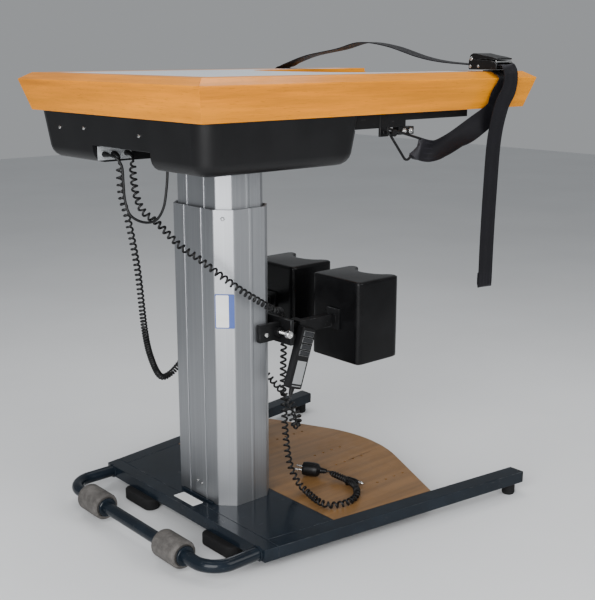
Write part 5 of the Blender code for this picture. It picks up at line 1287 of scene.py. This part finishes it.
class STANDING_OT_straps(Operator):
    """Weave the two lengths of the hip strap through their places"""
    bl_idname = "standing.straps"
    bl_label = "Hip strap"

    def lower_part(self, sign, crossing, lift, lay, ring_side):
        """From the ring up over the rim, which it crosses so far along the arm. It gathers as it leaves the
        ring."""
        # Along the arm in millimetres and as a share of the run, outwards and up in millimetres, the width's
        # direction and the curl
        gathered = [(26, 0, -2.2, -5.2, (0.62, 0, 0.78), 0.55),
                    (18, 0, -3.4, -4.0, (0.70, 0, 0.71), 0.40),
                    (9, 0, -5.7, -1.8, (0.79, 0, 0.59), 0.15),
                    (1, 0, -7.4, 0.8, (0.82, 0, 0.57), 0),
                    (-2.1, 0, -3.7, 3.0, (0.82, 0, 0.57), 0),
                    (2, 0, 0, 0, (0.82, 0, 0.57), -0.10),
                    (0, 0.12, 0.6, -5.0, (0.62, 0, 0.78), -0.52),
                    (0, 0.25, 3, -5.5, (0.2, -0.45, 0.72), -0.95),
                    (0, 0.48, 4, 8, (-0.15, -0.75, 0.62), -0.80),
                    (0, 0.76, 6, 34, (-0.45, -0.375, 0.80), -0.30)]
        frames = []
        for along, share, out, rise, (x, y, z), curl in gathered:
            u = STRAP_START.x + along * MM + share * (crossing - STRAP_START.x)
            spot = at(u, sign * (ring_side + out * MM), STRAP_START.y + rise * MM)
            frames.append((spot, (x, sign * y, z), sign * curl))
        landing, edge_y = crossing + STRAP_LANDING, HALF_WIDTH - 0.021
        rim = [(crossing, HALF_WIDTH - 0.008, RIM_BOTTOM - 0.006, -0.62, 0.78),
               (landing - 0.014, HALF_WIDTH - 0.003, RIM_BOTTOM + 0.024, -0.80, 0.60),
               (landing - 0.004, HALF_WIDTH + 0.003, RIM_WIDEST - 0.014, -0.94, 0.34),
               (landing - 0.001, HALF_WIDTH + lay + 0.0016, RIM_WIDEST + 0.001, -1, 0.04),
               (landing + 0.001, edge_y + 0.011, (RIM_WIDEST + TABLE_TOP) / 2 + lay + 0.0016, -1, 0),
               (landing + 0.001, edge_y, TABLE_TOP + lay + 0.0004 + lift / 3, -1, 0),
               (landing, edge_y - 0.012, TABLE_TOP + lay + lift, -1, 0)]
        return frames + [(at(u, sign * y, z), (x_way, 0, z_way), 0) for u, y, z, x_way, z_way in rim]

    def execute(self, context):
        thick = context.scene.standing_sizes.strap_thickness
        near_crossing, far_crossing, arch_rise = 0.464, 0.381, 0.058
        lay = thick / 2 + 0.0006
        ring_side = RING_Y + RING_WIRE + 0.0003 + thick / 2
        flat = (-1, 0, 0)
        buckle = middle_of("cam_buckle")
        buckle_x = buckle.x - COLUMN_X
        near = self.lower_part(-1, near_crossing, 0, lay, ring_side)
        near.append((at(buckle_x, buckle.y + 0.012, TABLE_TOP + lay), flat, 0))

        far = self.lower_part(1, far_crossing, 0.004, lay, ring_side)
        landing = far_crossing + STRAP_LANDING
        # The arch: shares of the way to the buckle, of the half width and of the rise
        arch = [(-0.10, 0.778, 0.24), (0.01, 0.596, 0.52), (0.20, 0.331, 0.76), (0.37, 0.133, 1.0),
                (0.53, -0.099, 0.86), (0.73, -0.348, 0.48), (0.86, -0.530, 0.31)]
        for share, side, rise in arch:
            spot = at(landing + (buckle_x - landing) * share, HALF_WIDTH * side, TABLE_TOP + arch_rise * rise)
            far.append((spot, (-1, -0.12, 0), 0))
        slot = TABLE_TOP + 2 * lay + 0.0009 + 0.009
        through = [(-1, 47, 0.5), (0, 35, 0), (0, -17.5, 0), (0, -35, 0), (1, -42, -1.5)]
        far += [(at(buckle_x + along * MM, buckle.y + y * MM, slot + rise * MM), flat, 0)
                for along, y, rise in through]
        # The loose end, level by level: along the arm from the buckle, out from the flank and up from the level
        # in millimetres, and the width's direction
        loose = {RIM_WIDEST: [(4, 15.5, 8, -1, 0.10), (1, 15, -22, -0.98, 0.20)],
                 RIM_BOTTOM: [(-16, 11, 4, -0.97, 0.22), (-29, 7, -60, -1, 0.08), (-34, 6, -160, -1, 0.04),
                              (-37, 6, -260, -1, 0.04), (-39, 7, -352.5, -1, 0.04), (-39, 5.8, -354, -1, 0.04),
                              (-39, 4.7, -352, -1, 0.04), (-38, 4.2, -330, -1, 0.04)]}
        for level, rows in loose.items():
            for along, out, rise, x_way, z_way in rows:
                spot = at(buckle_x + along * MM, -HALF_WIDTH - out * MM, level + rise * MM)
                far.append((spot, (x_way, 0, z_way), 0))

        straps = [("near_strap", "right", near, [(0.01, 0.055), (0.13, 0.19), (0.93, 0.99)]),
                  ("far_strap", "left", far, [(0.003, 0.017), (0.955, 0.998)])]
        for name, side, frames, sewn in straps:
            strap, reach = ribbon(name, frames, STRAP_WIDTH, sewn)
            strap = softened(thickened(strap, thick), 0.0003, 1, 60)
            finished(strap, None, "webbing", f"hip_strap_{side}", weighted=False)
            y, z = SIDES[side] * ring_side, STRAP_START.y - 0.004
            at(STRAP_START.x + 0.004, y, z)
            at(STRAP_START.x + 0.075, y, z)
            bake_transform(strap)
        return {"FINISHED"}


class STANDING_OT_buckle(Operator):
    """Build the cam buckle and its lever"""
    bl_idname = "standing.buckle"
    bl_label = "Cam buckle"

    def execute(self, context):
        sides = context.scene.standing_sizes.round_sides
        foot = middle_of("cam_buckle")
        foot.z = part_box("cam_buckle")[0].z

        def plate(name, outline, start, width):
            """An outline of (y, height) extruded along X, in millimetres from the buckle's foot."""
            x = foot.x + start * MM
            return extruded(name, [(x, foot.y + y * MM, foot.z + height * MM) for y, height in outline],
                            (width * MM, 0, 0))

        def bar(y, height, radius, reach):
            half = [(0, reach), (radius * 0.8, reach), (radius, reach - 0.6)]
            profile = [(wide, -along) for wide, along in half] + half[::-1]
            return lathe("bar", profile, foot + Vector((0, y, height)) * MM, (1, 0, 0), sides)

        cheek = [(-35, 2.2), (-33.2, 0), (33.2, 0), (35, 2.2), (35, 16.5), (33.5, 20.5), (30, 22.8),
                 (25, 22.8), (20, 19.5), (-17, 18), (-29, 16), (-35, 11)]
        floor = [(-33.5, 0.2), (33.5, 0.2), (33.5, 2.6), (-33.5, 2.6)]
        parts = [plate("buckle_cheek", cheek, -28, 3.4), plate("buckle_cheek", cheek, 24.6, 3.4),
                 plate("buckle_floor", floor, -24.7, 49.4)]
        body = softened(merged("buckle_body", *parts), 0.0007)
        finished(body, "table", "black", "cam_buckle")
        bars = [(-30.5, 15, 2.6, 24.6), (-29.5, 5, 2.4, 24.6), (30.5, 5.5, 3, 29.2), (28.5, 21.2, 3.8, 29.6),
                (10, 6, 2.8, 29)]
        finished(merged("buckle_bars", *(bar(*row) for row in bars)), "table", "bright")
        grip = [(35, 20), (36.4, 24.5), (34, 29), (28, 31.8), (20, 31.8), (9, 29.6), (-5, 27.2), (-21, 24.8),
                (-33, 22.2), (-34.2, 20.2), (-31, 19.2), (-17, 19.6), (-3, 20.6), (10, 20), (19, 15.8),
                (26, 12.8), (32, 14.8)]
        lever = softened(plate("cam_lever", grip, -23.8, 47.6), 0.0010, 3, 50)
        finished(lever, "buckle_lever", "black", "buckle_lever", angle=45)
        return {"FINISHED"}


class STANDING_OT_trim(Operator):
    """Add the small screws, the blank labels and the column's foot strip"""
    bl_idname = "standing.trim"
    bl_label = "Screws and labels"

    def screw(self, name, place, axis, radius, body):
        """A pan-head screw with a round recess; its radius is in millimetres."""
        shares = [(1, 0.15), (0.82, 0.50), (0.48, 0.66), (0.40, 0.66), (0.34, 0.15), (0, 0.10)]
        profile = [(0, -0.5), (radius, -0.5)] + [(radius * wide, radius * rise) for wide, rise in shares]
        finished(lathe(name, profile, place, axis), body, "bright", angle=35)

    def label(self, name, corner, across, up, out, finish):
        """A thin plate from one corner, with rounded corners."""
        item = extruded(name, [corner, corner + across, corner + across + up, corner + up], out * 0.0005)
        with editing(item):
            pick("EDGE", lambda edge: abs(edge_way(edge).dot(out)) > 0.9)
            bpy.ops.mesh.bevel(offset=0.0020, segments=3, affect="EDGES")
        finished(softened(item, 0.0001, 1), "base", finish)

    def execute(self, context):
        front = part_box("housing")[0].x - COLUMN_X
        for index, (y, rise) in enumerate(((0.194, 0.060), (0.103, 0.063), (-0.084, 0.060))):
            lean = DRAFT * rise / (RIM_BOTTOM - HOUSING_BOTTOM)
            place = at(front - lean, y, HOUSING_BOTTOM + rise)
            self.screw(f"housing_screw_{index + 1}", place, (-1, 0, 0.11), 3.4, "table")
        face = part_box("column_outer")[0].x - COLUMN_X
        for index, (y, rise) in enumerate(((0.0037, 0.0326), (-0.0102, 0.0306))):
            self.screw(f"column_screw_{index + 1}", at(face, y, PLATE_TOP + rise), (-1, 0, 0), 3.2, "base")
        out = Vector((-1, -1, 0)).normalized()
        eyelet = [(1.6, -4), (3.4, -0.4), (4, 0.4), (3.4, 0.8), (2.2, 0.4), (1.6, -4)]
        finished(lathe("column_eyelet", eyelet, at(-0.0533, -0.0781, 0.6334), out), "base", "dark")
        across, up = Vector((0.0268, -0.0268, 0)), Vector((0, 0, 0.068))
        corner = at(-0.0658, -0.0656, 0.420) + out * 0.0001
        self.label("column_label", corner, across, up, out, "label_tint")
        film_corner = corner + across * 0.05 + up * 0.03 + out * 0.0005
        self.label("column_label_film", film_corner, across * 0.66, up * 0.94, out, "plate")
        self.label("base_label", at(-0.107, 0.034, PLATE_TOP + 0.0001), Vector((0, -0.068, 0)),
                   Vector((0.026, 0, 0)), Vector((0, 0, 1)), "plate")
        strip = cuboid("foot_strip", (face - 0.0060, -0.052, PLATE_TOP),
                       (face - 0.0003, 0.052, PLATE_TOP + 0.004))
        finished(softened(strip, 0.0008), "base", "base")
        return {"FINISHED"}


class STANDING_OT_drive(Operator):
    """Give the drive parts and the glide ring, which keep their solids, their finishes"""
    bl_idname = "standing.drive"
    bl_label = "Drive parts"

    def execute(self, context):
        kept = {"drive_motor": "dark", "lift_spindle": "dark", "spindle_nut": "grey", "control_box": "grey",
                "glide_ring": "housing"}
        for node, finish in kept.items():
            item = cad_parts[node]
            item.data.materials.clear()
            item.data.materials.append(finishes[finish])
        return {"FINISHED"}


class STANDING_PT_panel(Panel):
    """Lists the steps that dress the table"""
    bl_idname = "STANDING_PT_panel"
    bl_label = "Standing Table"
    bl_space_type = "VIEW_3D"
    bl_region_type = "UI"
    bl_category = "Standing Table"

    def draw(self, context):
        for step in STEPS:
            self.layout.operator(step.bl_idname)


STEPS = (STANDING_OT_studio, STANDING_OT_cords, STANDING_OT_rims, STANDING_OT_top, STANDING_OT_column,
         STANDING_OT_housing, STANDING_OT_base, STANDING_OT_handle, STANDING_OT_board, STANDING_OT_knees,
         STANDING_OT_pads, STANDING_OT_handset, STANDING_OT_rings, STANDING_OT_straps, STANDING_OT_buckle,
         STANDING_OT_trim, STANDING_OT_drive)
CLASSES = (TableSizes, TableColours, StudioSettings) + STEPS + (STANDING_PT_panel,)


def register():
    for part in CLASSES:
        bpy.utils.register_class(part)
    bpy.types.Scene.standing_sizes = PointerProperty(type=TableSizes)
    bpy.types.Scene.standing_colours = PointerProperty(type=TableColours)
    bpy.types.Scene.standing_studio = PointerProperty(type=StudioSettings)


def unregister():
    del bpy.types.Scene.standing_studio
    del bpy.types.Scene.standing_colours
    del bpy.types.Scene.standing_sizes
    for part in reversed(CLASSES):
        bpy.utils.unregister_class(part)


def main():
    register()
    make_finishes(bpy.context.scene.standing_colours)
    for step in STEPS:
        group, name = step.bl_idname.split(".")
        getattr(getattr(bpy.ops, group), name)()
    deselect()


if __name__ == "__main__":
    main()
